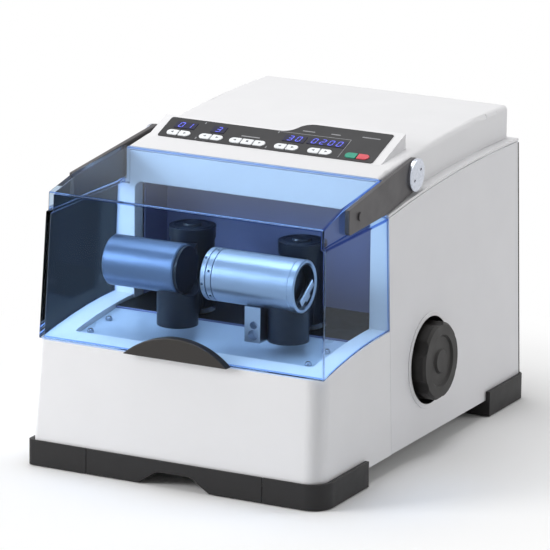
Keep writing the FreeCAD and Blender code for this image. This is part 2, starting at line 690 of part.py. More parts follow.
for name, x, end in KEYS:
    key = new_body("key_" + name)
    pad(key, "XY", [key_outline("0", "0", end, "0")], "-key_low", "key_proud")
    round_edges(key, "0.8", lambda middle, edge: middle.z > num("key_proud") - 0.01)
    on_slope(key, str(x), "key_line")
    keep(key, "key_" + name)

# Rear panel, base plate and feet.
rear = new_body("rear_panel")
rear_top = "(panel_back_top - 0.6)"


def rear_half(height):
    return "(%s - panel_thick - 0.3)" % half_at(height)


vents = []
for row in range(7):
    for column in (-1, 1):
        x, z = 62 * column, 128 + 9 * row
        vents.append(rectangle(str(x - 34), str(x + 34), str(z), str(z + 4)))
rear_outline = [
    ("-" + rear_half("base_low"), "base_low"), (rear_half("base_low"), "base_low"),
    (rear_half(rear_top), rear_top), ("-" + rear_half(rear_top), rear_top),
]
mains_hole = rectangle("-mains_x - 27", "mains_x * -1 + 27", "mains_z - 15", "mains_z + 15")
port_holes = [("circle", side + "port_x", "port_z", "11") for side in ("-", "")]
pad(rear, "XZ", [rear_outline, mains_hole] + port_holes + vents, "case_back - panel_thick", "case_back")
keep(rear, "rear_panel")

plate = new_body("base_plate")
plate_front = "(1.4 + case_wall - case_front)"
plate_corner = "(case_corner - case_wall + 1)"
plate_back = "(case_back - panel_thick - 0.3)"
pad(plate, "XY", [[
    ("plate_half", plate_back), ("-plate_half", plate_back),
    ("-plate_half", "%s + %s" % (plate_front, plate_corner), plate_corner, 1),
    ("%s - plate_half" % plate_corner, plate_front),
    ("plate_half - %s" % plate_corner, plate_front, plate_corner, 1),
    ("plate_half", "%s + %s" % (plate_front, plate_corner)),
]], "base_low", "base_low + plate_thick")
keep(plate, "base_plate")

strip_back = "(strip_depth - foot_front)"
middle_foot = new_body("front_base_centre")
pad(middle_foot, "XY", [rectangle("0.2 - strip_joint", "strip_joint - 0.2", "-foot_front", strip_back)],
    "foot_low", "foot_high")
pocket(middle_foot, "XY", [rectangle("-strip_joint - 5", "strip_joint + 5", "-case_front - 0.3",
                                     strip_back + " + 5")], "base_low", "foot_high + 1")
arch_side = "foot_low + arch_high * 0.64"
pocket(middle_foot, "XZ", [[
    ("-arch_half", "foot_low - 5"), ("arch_half", "foot_low - 5"), ("arch_half", "foot_low"),
    ("arch_shoulder", arch_side, "arch_turn", 1), ("arch_flat", "foot_low + arch_high"),
    ("-arch_flat", "foot_low + arch_high", "arch_turn", 1), ("-arch_shoulder", arch_side), ("-arch_half", "foot_low"),
]],
       "-foot_front - 1", strip_back + " + 1")
keep(middle_foot, "front_base_centre")


def mirror_of(source, label):
    item = doc.addObject("Part::Mirroring", label)
    item.Source = source
    item.Normal = V(1, 0, 0)
    return keep(item, label)


seat_half = "(case_half + 0.3)"
pads_at = [("foot_half - 17", "strip_return * -1 - 82"), ("foot_half - 19", "foot_front - 48")]


def front_foot(label, foot_round, seat_round):
    """Right-hand corner piece of the base strip, with its own outer and seat radius."""
    foot = new_body(label)
    pad(foot, "XY", [[
        ("strip_joint + 0.2", "-foot_front"), ("foot_half - " + foot_round, "-foot_front", foot_round, 1),
        ("foot_half", foot_round + " - foot_front"), ("foot_half", "-strip_return"),
        ("foot_half - strip_width", "-strip_return"), ("foot_half - strip_width", strip_back),
        ("strip_joint + 0.2", strip_back),
    ]], "foot_low", "foot_high")
    pocket(foot, "XY", [[
        ("strip_joint - 5", "-case_front - 0.3"), (seat_half + " - " + seat_round, "-case_front - 0.3", seat_round, 1),
        (seat_half, seat_round + " - case_front - 0.3"), (seat_half, "5 - strip_return"),
        ("strip_joint - 5", "5 - strip_return"),
    ]], "base_low", "foot_high + 1")
    pocket(foot, "XY", [("circle", pads_at[0][0], pads_at[0][1], "pad_radius + 0.2")], "foot_low - 1", "pad_high")
    return foot


keep(front_foot("front_base_right", "foot_corner", "case_corner"), "front_base_right")
mirror_of(front_foot("front_base_left_shape", "foot_corner_left", "case_corner_left"), "front_base_left")

rear_foot = new_body("rear_foot_right")
pad(rear_foot, "XY", [[
    ("rear_foot_inner", "rear_foot_front"), ("foot_half", "rear_foot_front"),
    ("foot_half", "foot_front - 14", "14", 1), ("foot_half - 14", "foot_front"), ("rear_foot_inner", "foot_front"),
]], "foot_low", "foot_high")
pocket(rear_foot, "XY", [rectangle("rear_foot_inner - 5", seat_half, "rear_foot_front - 5", "case_back + 0.3")],
       "base_low", "foot_high + 1")
pocket(rear_foot, "XY", [("circle", pads_at[1][0], pads_at[1][1], "pad_radius + 0.2")],
       "foot_low - 1", "pad_high")
keep(rear_foot, "rear_foot_right")
mirror_of(rear_foot, "rear_foot_left")
rubber = []
for i, (x, y) in enumerate(pads_at):
    for side in ("-", ""):
        rubber.append(cylinder("rubber_pad_%d" % (len(rubber) + 1), "pad_radius", "pad_high",
                               ("%s(%s)" % (side, x), y, "0")))
keep(joined("rubber_pads", rubber), "rubber_pads")


def hood_section(distance, inset):
    """Cross-section of the hood's side planes at a distance in front of the origin."""
    run = "(%s - hood_back)" % distance
    upper = "(hood_upper + hood_upper_toe * %s - %s)" % (run, inset)
    side = "(hood_side + hood_toe * %s - %s)" % (run, inset)
    shelf = "(shelf_high - 1.0966 * %s)" % inset
    upper_z = "(%s - shelf_fall * (%s - hood_upper))" % (shelf, upper)
    lower_z = "((%s - shelf_fall * (%s + case_slope * rim_high - hood_upper)) / (1 - shelf_fall * case_slope))" % (
        shelf, side)
    lower = "(%s - case_slope * (%s - rim_high))" % (side, lower_z)
    foot = "(%s - case_slope * (130 - rim_high))" % side
    return [
        (foot, "130"), (lower, lower_z), (upper, upper_z), (upper, "370"),
        ("-" + upper, "370"), ("-" + upper, upper_z), ("-" + lower, lower_z), ("-" + foot, "130"),
    ]


def hood_solid(label, rear, inset, side_view):
    """Faceted solid between the hood's side planes, trimmed to its side view."""
    body = new_body(label)
    loft(body, "XZ", rear, [hood_section(rear, inset)], "290", [hood_section("290", inset)])
    around = rectangle("-300", "-30", "90", "400")
    pocket(body, "YZ", [around, side_view], "-220", "220")
    return body


# Hood: a clear faceted shell, open below and behind, over the chamber.
hood_outer = hood_solid("hood_outer", "hood_back", "0", [
    ("-hood_low_y", rim_at("hood_low_y", "hood_gap"), "(rim_radius + hood_gap)", -1),
    ("-hood_back", "rim_high + hood_gap"), ("-hood_back", "hood_back_top"),
    ("-hood_bend_y", "hood_bend_z"), ("-hood_top_y", "hood_top_z"),
])
hood_inner = hood_solid("hood_inner", "hood_back - 8", "hood_wall", [
    ("1.05 * hood_wall - hood_low_y", "120"), ("8 - hood_back", "120"),
    ("8 - hood_back", "hood_back_top - 1.005 * hood_wall + 0.8"),
    ("0.163 * hood_wall - hood_bend_y", "hood_bend_z - 0.99 * hood_wall"),
    ("hood_wall - hood_top_y", "hood_top_z - 0.8 * hood_wall"),
])
keep(less("hood_shell", hood_outer, hood_inner), "hood_shell")

# Bars from the hood's sides back to its hinge.
toe = "atan(hood_upper_toe) / 1 deg"
bar = new_body("bar_blank")
bar_start = "(hood_back - bar_front)"
hinge_run = "(hood_back - hinge_y)"
pad(bar, "YZ", [[
    (bar_start, "bar_top"), (bar_start, "bar_low + 5", "5", 1), (bar_start + " + 5", "bar_low"),
    ("0.2", "bar_low + 1.3"), ("17.4", "bar_low + 3.3"),
    (hinge_run + " + 0.141 * bar_end", "hinge_z - 0.99 * bar_end", "bar_end", 1),
    (hinge_run + " + bar_end", "hinge_z", "bar_end", 1),
    (hinge_run + " - 0.119 * bar_end", "hinge_z + 0.9929 * bar_end"),
]], "0", "bar_thick")
tilted(bar, ("hood_upper + bar_gap", "-hood_back", "0"), (0, 0, 1), toe)
bar_bore = cylinder("bar_bore", "pin_radius + run_fit", "40", ("hood_upper - 20", "-hinge_y", "hinge_z"), (1, 0, 0))
bar_right = keep(less("hood_bar_right", bar, bar_bore), "hood_bar_right")
mirror_of(bar_right, "hood_bar_left")
screws = []
screw_run = "-78"
for side in (-1, 1):
    sign = "-" if side < 0 else ""
    at = ("%s(hood_upper + bar_gap + 1.0013 * bar_thick - hood_upper_toe * (%s))" % (sign, screw_run),
          "-hood_back + (%s)" % screw_run, "320")
    screws.append(cylinder("hood_screw_%d" % (len(screws) + 1), "5", "2", at,
                           (side, num("hood_upper_toe"), 0)))
keep(joined("hood_screws", screws), "hood_screws")
disc_face = "(hood_upper + bar_gap + bar_thick - hood_upper_toe * (%s - disc_radius) + 0.25)" % hinge_run
pins = []
for side in (-1, 1):
    sign = "-" if side < 0 else ""
    pins.append(cylinder("hinge_pin_%d" % (len(pins) + 1), "pin_radius", "%s - cover_half + cover_wall + 2" % disc_face,
                         (sign + "(cover_half - cover_wall - 2)", "-hinge_y", "hinge_z"), (side, 0, 0)))
    pins.append(cylinder("hinge_disc_%d" % (len(pins) + 1), "disc_radius", "2.8",
                         (sign + disc_face, "-hinge_y", "hinge_z"), (side, 0, 0)))
keep(joined("hinge_pins", pins), "hinge_pins")

handle = new_body("hood_handle")
handle_arc = "((handle_half^2 + handle_high^2) / (2 * handle_high))"
pad(handle, "XZ", [[("-handle_half", "0"), ("handle_half", "0", handle_arc, 1)]], "-handle_proud", "0")
tilted(handle, ("0", "-hood_low_y", "handle_low"), (-1, 0, 0),
       "atan((hood_low_y - hood_top_y) / (hood_top_z - handle_low)) / 1 deg")
keep(handle, "hood_handle")


def arm(label, shaft, radius, low, high):
    """Swing arm: a hub on its shaft, a beam and web to the saddle under the cylinder."""
    end_x, end_y = "(%s + arm_reach_x)" % shaft, "(-shaft_y - arm_reach_y)"

    def beam(name, half, reach, bottom, top):
        body = new_body(name)
        across, along = "0.9466 * %s" % half, "0.3223 * %s" % half
        tip_x, tip_y = "(%s + %s * arm_reach_x)" % (shaft, reach), "(-shaft_y - %s * arm_reach_y)" % reach
        pad(body, "XY", [[
            ("%s - %s" % (shaft, across), "-shaft_y - %s" % along),
            ("%s - %s" % (tip_x, across), "%s - %s" % (tip_y, along)),
            ("%s + %s" % (tip_x, across), "%s + %s" % (tip_y, along)),
            ("%s + %s" % (shaft, across), "-shaft_y + %s" % along),
        ]], bottom, top)
        return body
    solid = joined(label + "_whole", [
        cylinder(label + "_hub", "hub_radius", "hub_high - hub_low", (shaft, "-shaft_y", "hub_low")),
        beam(label + "_beam", "arm_wide", "1", "arm_low", "arm_high"),
        beam(label + "_web", "web_wide", "0.86", "arm_high - 4", "web_high - 14"),
        cylinder(label + "_boss", "boss_radius", "boss_high - arm_low", (end_x, end_y, "arm_low")),
    ])
    tools = joined(label + "_tools", [
        cylinder(label + "_bore", "shaft_radius", "hub_high", (shaft, "-shaft_y", "hub_low - 20")),
        cylinder(label + "_seat", radius, "(%s) - (%s)" % (high, low), (low, "-cylinder_y", "cylinder_z"), (1, 0, 0)),
    ])
    return keep(less(label, solid, tools), label)


arm("counter_arm", "(-shaft_x)", "weight_radius", "-weight_left - 20", "0")
arm("jar_arm", "(shaft_x)", "holder_radius", "0", "holder_right + 20")
for label, shaft, rod_top in (("counter_shaft", "(-shaft_x)", "(rod_low + rod_thick)"),
                              ("jar_shaft", "(shaft_x)", "(rod_low + 2 * rod_thick + rod_gap)")):
    lever = new_body(label + "_lever")
    pad(lever, "XY", [rounded(shaft + " - 12", shaft + " + 12", "-shaft_y - 12", "lever_reach - shaft_y + 12", "11.9")],
        "lever_low", "lever_high")
    parts = [
        cylinder(label + "_rod", "shaft_radius", "hub_high - 30", (shaft, "-shaft_y", "30")),
        cylinder(label + "_cap", "cap_radius", "cap_high - hub_high", (shaft, "-shaft_y", "hub_high")),
        cylinder(label + "_pin", "lever_pin", "%s - lever_high + 0.5" % rod_top,
                 (shaft, "lever_reach - shaft_y", "lever_high")),
        lever,
    ]
    keep(joined(label, parts), label)

# Counterweight with its end cap; jar holder with lock rings and the grinding jar in its bore.
weight_long = "(weight_left - weight_right)"
weight = new_body("counterweight")
revolve(weight, [[
    ("0", "0"), ("weight_radius - 2", "0"), ("weight_radius", "2"), ("weight_radius", weight_long + " - 1.5"),
    ("weight_radius - 1.5", weight_long), ("0", weight_long),
]])
place(weight, ("-weight_left", "-cylinder_y", "cylinder_z"), aimed((1, 0, 0)))
keep(weight, "counterweight")
keep(cylinder("counter_end_cap", "weight_radius - 2.5", "4", ("-weight_right", "-cylinder_y", "cylinder_z"),
              (1, 0, 0)), "counter_end_cap")
holder = new_body("jar_holder_turned")
shoulder = "(holder_shoulder - holder_left)"
mouth = "(holder_right - holder_left)"
revolve(holder, [[
    ("0", "0"), ("spigot_radius", "0"), ("spigot_radius", shoulder), ("holder_radius", shoulder),
    ("holder_radius", mouth + " - 8.5"), ("holder_radius - 0.5", mouth + " - 8"), ("holder_radius", mouth + " - 7.5"),
    ("holder_radius", mouth + " - 1"), ("holder_radius - 1", mouth), ("holder_bore + 2", mouth),
    ("holder_bore", mouth + " - 3"), ("holder_bore", shoulder + " + 6"), ("0", shoulder + " + 6"),
]])
place(holder, ("holder_left", "-cylinder_y", "cylinder_z"), aimed((1, 0, 0)))
connector = block("connector", "61", "81", "-cylinder_y - 21", "-cylinder_y + 16", "170", "cylinder_z - holder_radius + 4")
connector_bores = joined("connector_bores", [
    cylinder("bore_fine", "4.5", "12", ("72.4", "-cylinder_y - 22", "190.4"), (0, 1, 0)),
    cylinder("bore_wide", "6.2", "12", ("71.8", "-cylinder_y - 22", "178.6"), (0, 1, 0)),
    cylinder("connector_seat", "holder_radius - 1", "40", ("50", "-cylinder_y", "cylinder_z"), (1, 0, 0)),
])
connector_block = less("connector_block", connector, connector_bores)
jar_arm_clear = [item for item in kept if item.Label == "jar_arm"][0]
holder_whole = joined("jar_holder_whole", [holder, connector_block])
keep(less("jar_holder", holder_whole, jar_arm_clear), "jar_holder")
rings = new_body("jar_lock_rings_turned")
revolve(rings, [[
    ("spigot_radius", "0"), ("holder_radius - 1.5", "0"), ("holder_radius", "1.5"), ("holder_radius", "6.6"),
    ("holder_radius - 2.5", "6.6"), ("holder_radius - 2.5", "8"), ("holder_radius", "8"),
    ("holder_radius", shoulder + " - 1.2"), ("holder_radius - 2.5", shoulder + " - 1.2"),
    ("holder_radius - 2.5", shoulder), ("spigot_radius", shoulder),
]])
place(rings, ("holder_left", "-cylinder_y", "cylinder_z"), aimed((1, 0, 0)))
spanner_holes = []
for row, (station, turn) in enumerate((("holder_left + 3.4", 0.5), (shoulder + " + holder_left - 4.2", 0))):
    for i in range(6):
        angle = math.pi * (i + turn) / 3 + 0.35
        way = (0, -math.cos(angle), math.sin(angle))
        at = (station, "%.6f * (holder_radius - 4) - cylinder_y" % way[1],
              "%.6f * (holder_radius - 4) + cylinder_z" % way[2])
        spanner_holes.append(cylinder("spanner_hole_%d_%d" % (row + 1, i + 1), "1.7", "8", at, way))
keep(less("jar_lock_rings", rings, joined("spanner_holes", spanner_holes)), "jar_lock_rings")
jar = new_body("grinding_jar")
jar_round = "(holder_bore - jar_play)"
revolve(jar, [[
    ("0", "0"), (jar_round + " - 4", "0"), (jar_round, "4"), (jar_round, "72"), (jar_round + " - 1", "73"),
    (jar_round + " - 1", "75"), (jar_round, "76"), (jar_round, "82"), (jar_round + " - 2", "84"), ("0", "84"),
]])
place(jar, ("holder_shoulder + 6", "-cylinder_y", "cylinder_z"), aimed((1, 0, 0)))
keep(jar, "grinding_jar")

# Drive under the deck: bearing housings, eccentric shaft, rods, pulleys, belt and motor.
plate_top = "(base_low + plate_thick)"
housings = []
bores = []
for name, x, y, radius, top, floor in (
        ("left", "(-shaft_x)", "-shaft_y", "housing_radius", "housing_high", "29.5"),
        ("right", "(shaft_x)", "-shaft_y", "housing_radius", "housing_high", "29.5"),
        ("drive", "(0)", "-drive_y", "housing_radius - 2", "100", "59.5")):
    housings.append(cylinder("housing_" + name, radius, "(%s) - %s" % (top, plate_top), (x, y, plate_top)))
    bores.append(cylinder("housing_bore_" + name, "shaft_radius + run_fit", "120", (x, y, floor)))
keep(less("shaft_bearings", joined("housings", housings), joined("housing_bores", bores)), "shaft_bearings")

low_disc_top = "(rod_low - 0.4)"
high_disc_low = "(rod_low + 2 * rod_thick + rod_gap + 0.4)"
keep(joined("eccentric_shaft", [
    cylinder("eccentric_spindle", "shaft_radius", "92", ("0", "-drive_y", "60")),
    cylinder("eccentric_low", "disc_a", "6.2", ("0", "eccentric - drive_y", low_disc_top + " - 6.2")),
    cylinder("eccentric_high", "disc_a", "5.6", ("0", "-eccentric - drive_y", high_disc_low)),
]), "eccentric_shaft")


def rod(label, sign, bottom):
    """Connecting rod: a ring round the eccentric shaft and an eye on the lever's pin."""
    pin_x = "(%sshaft_x)" % sign
    pin_y = "(lever_reach - shaft_y)"
    near, far = ("%s" % pin_x, "-24") if sign else ("24", "%s" % pin_x)
    solid = joined(label + "_whole", [
        cylinder(label + "_ring", "ring_radius", "rod_thick", ("0", "-drive_y", bottom)),
        cylinder(label + "_eye", "lever_pin + 5", "rod_thick", (pin_x, pin_y, bottom)),
        block(label + "_bar", near, far, "-drive_y - 7", "7 - drive_y", bottom, bottom + " + rod_thick"),
    ])
    tools = joined(label + "_tools", [
        cylinder(label + "_bore", "ring_bore", "30", ("0", "-drive_y", bottom + " - 10")),
        cylinder(label + "_pin_bore", "lever_pin + run_fit", "30", (pin_x, pin_y, bottom + " - 10")),
    ])
    return keep(less(label, solid, tools), label)


rod("counter_rod", "-", "(rod_low)")
rod("jar_rod", "", "(rod_low + rod_thick + rod_gap)")


def pulley(label, radius, shaft, y, low):
    """Flat pulley with two flanges and a spindle or bore."""
    body = new_body(label)
    outline = [
        (shaft, "0"), (radius + " + 2", "0"), (radius + " + 2", "2"), (radius, "2"), (radius, "pulley_thick - 2"),
        (radius + " + 2", "pulley_thick - 2"), (radius + " + 2", "pulley_thick"), (shaft, "pulley_thick"),
    ]
    if shaft == "0":
        outline = [("0", "-24"), ("6", "-24"), ("6", "0")] + outline[1:]
    revolve(body, [outline])
    place(body, ("0", y, low))
    return keep(body, label)


pulley("drive_pulley", "pulley_radius", "shaft_radius", "-drive_y", "pulley_low")
pulley("motor_pulley", "motor_pulley_radius", "0", "motor_y", "pulley_low")
motor = new_body("drive_motor")
revolve(motor, [[
    ("0", "0"), ("motor_radius", "0"), ("motor_radius", "14"), ("motor_radius - 2", "15"),
    ("motor_radius - 2", "58"), ("motor_radius", "59"), ("motor_radius", "motor_high - 23"),
    ("14", "motor_high - 23"), ("14", "motor_high - 19"), ("lever_pin + run_fit", "motor_high - 19"),
    ("lever_pin + run_fit", "motor_high - 43"), ("0", "motor_high - 43"),
]])
place(motor, ("0", "motor_y", plate_top))
keep(motor, "drive_motor")

belt_low, belt_high = num("pulley_low + 2.4"), num("pulley_low + pulley_thick - 2.4")


def belt_wire(extra):
    """Loop round both pulleys at a distance outside them."""
    big, small = num("pulley_radius") + extra, num("motor_pulley_radius") + extra
    first, second = num("-drive_y"), num("motor_y")
    lift = math.asin((big - small) / (second - first))
    spots = {}
    for side in (-1, 1):
        away = V(side * math.cos(lift), math.sin(lift), 0)
        spots[side] = (V(0, first, belt_low) + away * big, V(0, second, belt_low) + away * small)
    front = Part.Arc(spots[-1][0], V(0, first - big, belt_low), spots[1][0]).toShape()
    back = Part.Arc(spots[1][1], V(0, second + small, belt_low), spots[-1][1]).toShape()
    return Part.Wire([front, Part.makeLine(spots[1][0], spots[1][1]), back,
                      Part.makeLine(spots[-1][1], spots[-1][0])])


gap = num("belt_gap")
outer_loop = Part.Face(belt_wire(gap + num("belt_thick"))).extrude(V(0, 0, belt_high - belt_low))
inner_loop = Part.Face(belt_wire(gap)).extrude(V(0, 0, belt_high - belt_low))
belt = doc.addObject("Part::Feature", "drive_belt")
belt.Shape = outer_loop.cut(inner_loop)
keep(belt, "drive_belt")

# Handwheel in its round recess on the right side, square to the leaning panel.
wheel_at = (wheel_face, "wheel_y", "wheel_z")
wheel_way = (1, 0, num("case_slope"))
recess = new_body("handwheel_recess")
revolve(recess, [[
    ("spindle_radius + run_fit", "-recess_depth - 10"), ("13", "-recess_depth - 10"), ("13", "-recess_depth - 2.5"),
    ("recess_radius + 2.5", "-recess_depth - 2.5"), ("recess_radius + 2.5", "0"), ("bezel_radius", "0"),
    ("bezel_radius", "bezel_proud"), ("recess_radius", "bezel_proud"), ("recess_radius", "-recess_depth"),
    ("spindle_radius + run_fit", "-recess_depth"),
]])
place(recess, wheel_at, aimed(wheel_way))
keep(recess, "handwheel_recess")
knob = new_body("handwheel_turned")
revolve(knob, [[
    ("0", "-recess_depth - 14"), ("spindle_radius", "-recess_depth - 14"), ("spindle_radius", "2 - recess_depth"),
    ("knob_radius - 2", "2 - recess_depth"), ("knob_radius", "4 - recess_depth"), ("knob_radius", "knob_proud - 3"),
    ("knob_radius - 3", "knob_proud"), ("31", "knob_proud"), ("29", "knob_proud - 2.5"), ("15", "knob_proud - 2.5"),
    ("13", "knob_proud"), ("0", "knob_proud"),
]])
place(knob, wheel_at, aimed(wheel_way))
scoops = []
for i in range(6):
    angle = 2 * math.pi * (i + 0.5) / 6
    reach_y, reach_z = "%.6f * (knob_radius + knob_scoop - knob_bite)" % math.cos(angle), \
        "%.6f * (knob_radius + knob_scoop - knob_bite)" % math.sin(angle)
    at = ("%s - 20 - case_slope * %s" % (wheel_face, reach_z), "wheel_y + " + reach_y,
          "wheel_z + %s - 20 * case_slope" % reach_z)
    scoops.append(cylinder("knob_scoop_%d" % (i + 1), "knob_scoop", "60", at, wheel_way))
keep(less("handwheel", knob, joined("knob_scoops", scoops)), "handwheel")

# Rear connections: mains inlet with its rocker switch, coolant inlet and exhaust.
inlet_body = joined("mains_body", [
    block("mains_housing", "-mains_x - 26.7", "26.7 - mains_x", "case_back - 30", "case_back", "mains_z - 14.7",
          "mains_z + 14.7"),
    block("mains_flange", "-mains_x - 31", "31 - mains_x", "case_back", "case_back + 2", "mains_z - 18.5",
          "mains_z + 18.5"),
])
inlet_holes = joined("mains_holes", [
    block("mains_socket", "-mains_x - 24", "2 - mains_x", "case_back - 16", "case_back + 5", "mains_z - 9.5",
          "mains_z + 9.5"),
    block("mains_rocker_hole", "7 - mains_x", "24 - mains_x", "case_back - 18", "case_back + 5", "mains_z - 11",
          "mains_z + 11"),
    cylinder("mains_axle_hole", "2 + run_fit", "20", ("5.4 - mains_x", "case_back - 4", "mains_z"), (1, 0, 0)),
])
keep(less("mains_inlet", inlet_body, inlet_holes), "mains_inlet")
keep(joined("mains_switch", [
    block("rocker", "8 - mains_x", "23 - mains_x", "case_back - 8", "case_back + 3.5", "mains_z - 9.5",
          "mains_z + 9.5"),
    cylinder("rocker_axle", "2", "19", ("6 - mains_x", "case_back - 4", "mains_z"), (1, 0, 0)),
]), "mains_switch")
reach = "(rear_reach - case_back)"
coolant = new_body("coolant_inlet")
revolve(coolant, [[
    ("0", "-8"), ("10.7", "-8"), ("10.7", "0"), ("20", "0"), ("20", "4"), ("11", "4"), ("11", "12"), ("15", "12"),
    ("15", "22"), ("11", "22"), ("11", reach + " - 10"), ("12.5", reach + " - 8"), ("12.5", reach), ("6", reach),
    ("6", "4"), ("0", "4"),
]])
place(coolant, ("port_x", "case_back", "port_z"), aimed((0, 1, 0)))
keep(coolant, "coolant_inlet")
exhaust = new_body("exhaust_outlet")
revolve(exhaust, [[
    ("0", "-8"), ("10.7", "-8"), ("10.7", "0"), ("18", "0"), ("18", "4"), ("12", "4"), ("12", "30"), ("9", "30"),
    ("9", "4"), ("0", "4"),
]])
place(exhaust, ("-port_x", "case_back", "port_z"), aimed((0, 1, 0)))
keep(exhaust, "exhaust_outlet")

doc.recompute()
broken = [item.Name for item in doc.Objects if "Invalid" in item.State or "Error" in item.State]
for item in kept:
    if item.Shape.isNull() or not item.Shape.isValid() or item.Shape.Volume <= 0:
        broken.append(item.Label)
if broken:
    raise ValueError("failed objects: " + ", ".join(broken))
labels = [item.Label for item in kept]
if len(set(labels)) != len(labels):
    raise ValueError("two sub-parts share a name")
os.makedirs("parts", exist_ok=True)
for item in kept:
    item.Shape.exportStep("parts/%s.step" % item.Label)
print(len(kept), "sub-parts")
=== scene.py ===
# %% [markdown]
# # Cryogenic mill
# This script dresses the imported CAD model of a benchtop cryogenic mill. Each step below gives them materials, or
# puts a finer piece in the place of a plain solid. Every length is in metres, +Z is up and the front of the mill
# looks towards -Y. To try a change, edit a value and run the script again from the start.

# %% Load the frame
import json
import math
import bmesh
import bpy
from mathutils import Matrix, Vector


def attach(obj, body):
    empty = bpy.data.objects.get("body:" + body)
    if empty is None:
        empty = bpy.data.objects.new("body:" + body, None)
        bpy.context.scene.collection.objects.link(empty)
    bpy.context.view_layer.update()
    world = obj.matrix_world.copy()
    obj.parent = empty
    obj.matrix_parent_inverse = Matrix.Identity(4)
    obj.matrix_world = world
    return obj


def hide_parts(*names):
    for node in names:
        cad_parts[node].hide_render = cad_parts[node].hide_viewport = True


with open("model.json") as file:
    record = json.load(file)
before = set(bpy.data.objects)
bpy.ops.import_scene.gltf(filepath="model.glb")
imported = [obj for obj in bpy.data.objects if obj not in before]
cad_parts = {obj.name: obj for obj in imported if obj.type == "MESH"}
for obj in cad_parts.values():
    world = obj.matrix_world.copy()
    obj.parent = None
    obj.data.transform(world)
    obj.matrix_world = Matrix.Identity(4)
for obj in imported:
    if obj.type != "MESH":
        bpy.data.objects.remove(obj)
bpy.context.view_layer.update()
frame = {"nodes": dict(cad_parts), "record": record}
nodes = frame["nodes"]

# %% [markdown]
# ## Camera
# The photograph was taken with a long lens from the front, to the right and a little above. The camera turns
# 27.28 degrees round the mill, looks down 14.84 degrees and leans 0.71 degrees. `aim` is the point that the
# middle of the picture shows. A camera can also be aimed with a constraint, but three directions written into its
# matrix keep the small lean exact. The focal length of 4853.2 pixels is for a picture that is 550 pixels wide.

# %% Camera
YAW, PITCH, ROLL = math.radians(27.28), math.radians(14.84), math.radians(0.71)
DISTANCE, FOCAL_PIXELS, PICTURE_PIXELS, SENSOR_MM = 5.7175, 4853.2, 550, 36
back = Vector((math.sin(YAW) * math.cos(PITCH), -math.cos(YAW) * math.cos(PITCH), math.sin(PITCH)))
level_right = Vector((math.cos(YAW), math.sin(YAW), 0))
level_up = back.cross(level_right)
right = math.cos(ROLL) * level_right + math.sin(ROLL) * level_up
up = math.cos(ROLL) * level_up - math.sin(ROLL) * level_right
aim = Vector((-0.0127, 0, 0.1884))
camera = bpy.data.objects.new("camera", bpy.data.cameras.new("camera"))
bpy.context.scene.collection.objects.link(camera)
camera.matrix_world = Matrix.Translation(aim + back * DISTANCE) @ Matrix((right, up, back)).transposed().to_4x4()
camera.data.sensor_width = SENSOR_MM
camera.data.lens = FOCAL_PIXELS * SENSOR_MM / PICTURE_PIXELS
camera.data.clip_end = 50
bpy.context.scene.camera = camera
bpy.context.scene.view_settings.view_transform = "Standard"
print("camera lens", round(camera.data.lens, 2), "mm")

# %% [markdown]
# ## Colours and shader nodes
# Colours are written as sRGB hex, as a picture shows them, and turned into the linear values that Blender
# computes with. `add_node` adds one shader node and fills its inputs, with a number or with a link from another
# node. One such function keeps each material short to read.

# %% Colours and shader nodes
def linear(hex_colour):
    """sRGB hex to linear RGBA."""
    parts = [int(hex_colour[i:i + 2], 16) / 255 for i in (0, 2, 4)]
    return tuple(c / 12.92 if c <= 0.04045 else ((c + 0.055) / 1.055) ** 2.4 for c in parts) + (1,)


def add_node(tree, kind, inputs=None, **properties):
    """Add a node, set its properties, and fill its inputs with values or links."""
    node = tree.nodes.new(kind)
    for name, value in properties.items():
        setattr(node, name, value)
    for name, value in (inputs or {}).items():
        if isinstance(value, bpy.types.NodeSocket):
            tree.links.new(value, node.inputs[name])
        else:
            node.inputs[name].default_value = value
    return node


print("white is", linear("ffffff"))

# %% [markdown]
# ## How a surface is built
# No real surface has one flat colour. Its tone drifts over some millimetres, the gloss drifts with it, and a fine
# relief breaks the reflections up. `surface` makes these three from two noise patterns on Object coordinates, so
# that they stay on the piece from every side. `stretch` draws a pattern out along an axis, as turning on a lathe
# does. Image textures would need files, and noise has the right size on any piece.

# %% How a surface is built
NOISE_LOW, NOISE_HIGH = 0.3, 0.7    # most of a noise pattern lies between these
GLOSSIEST, DULLEST = 0.9, 1.12      # how far the roughness drifts, as a share of itself


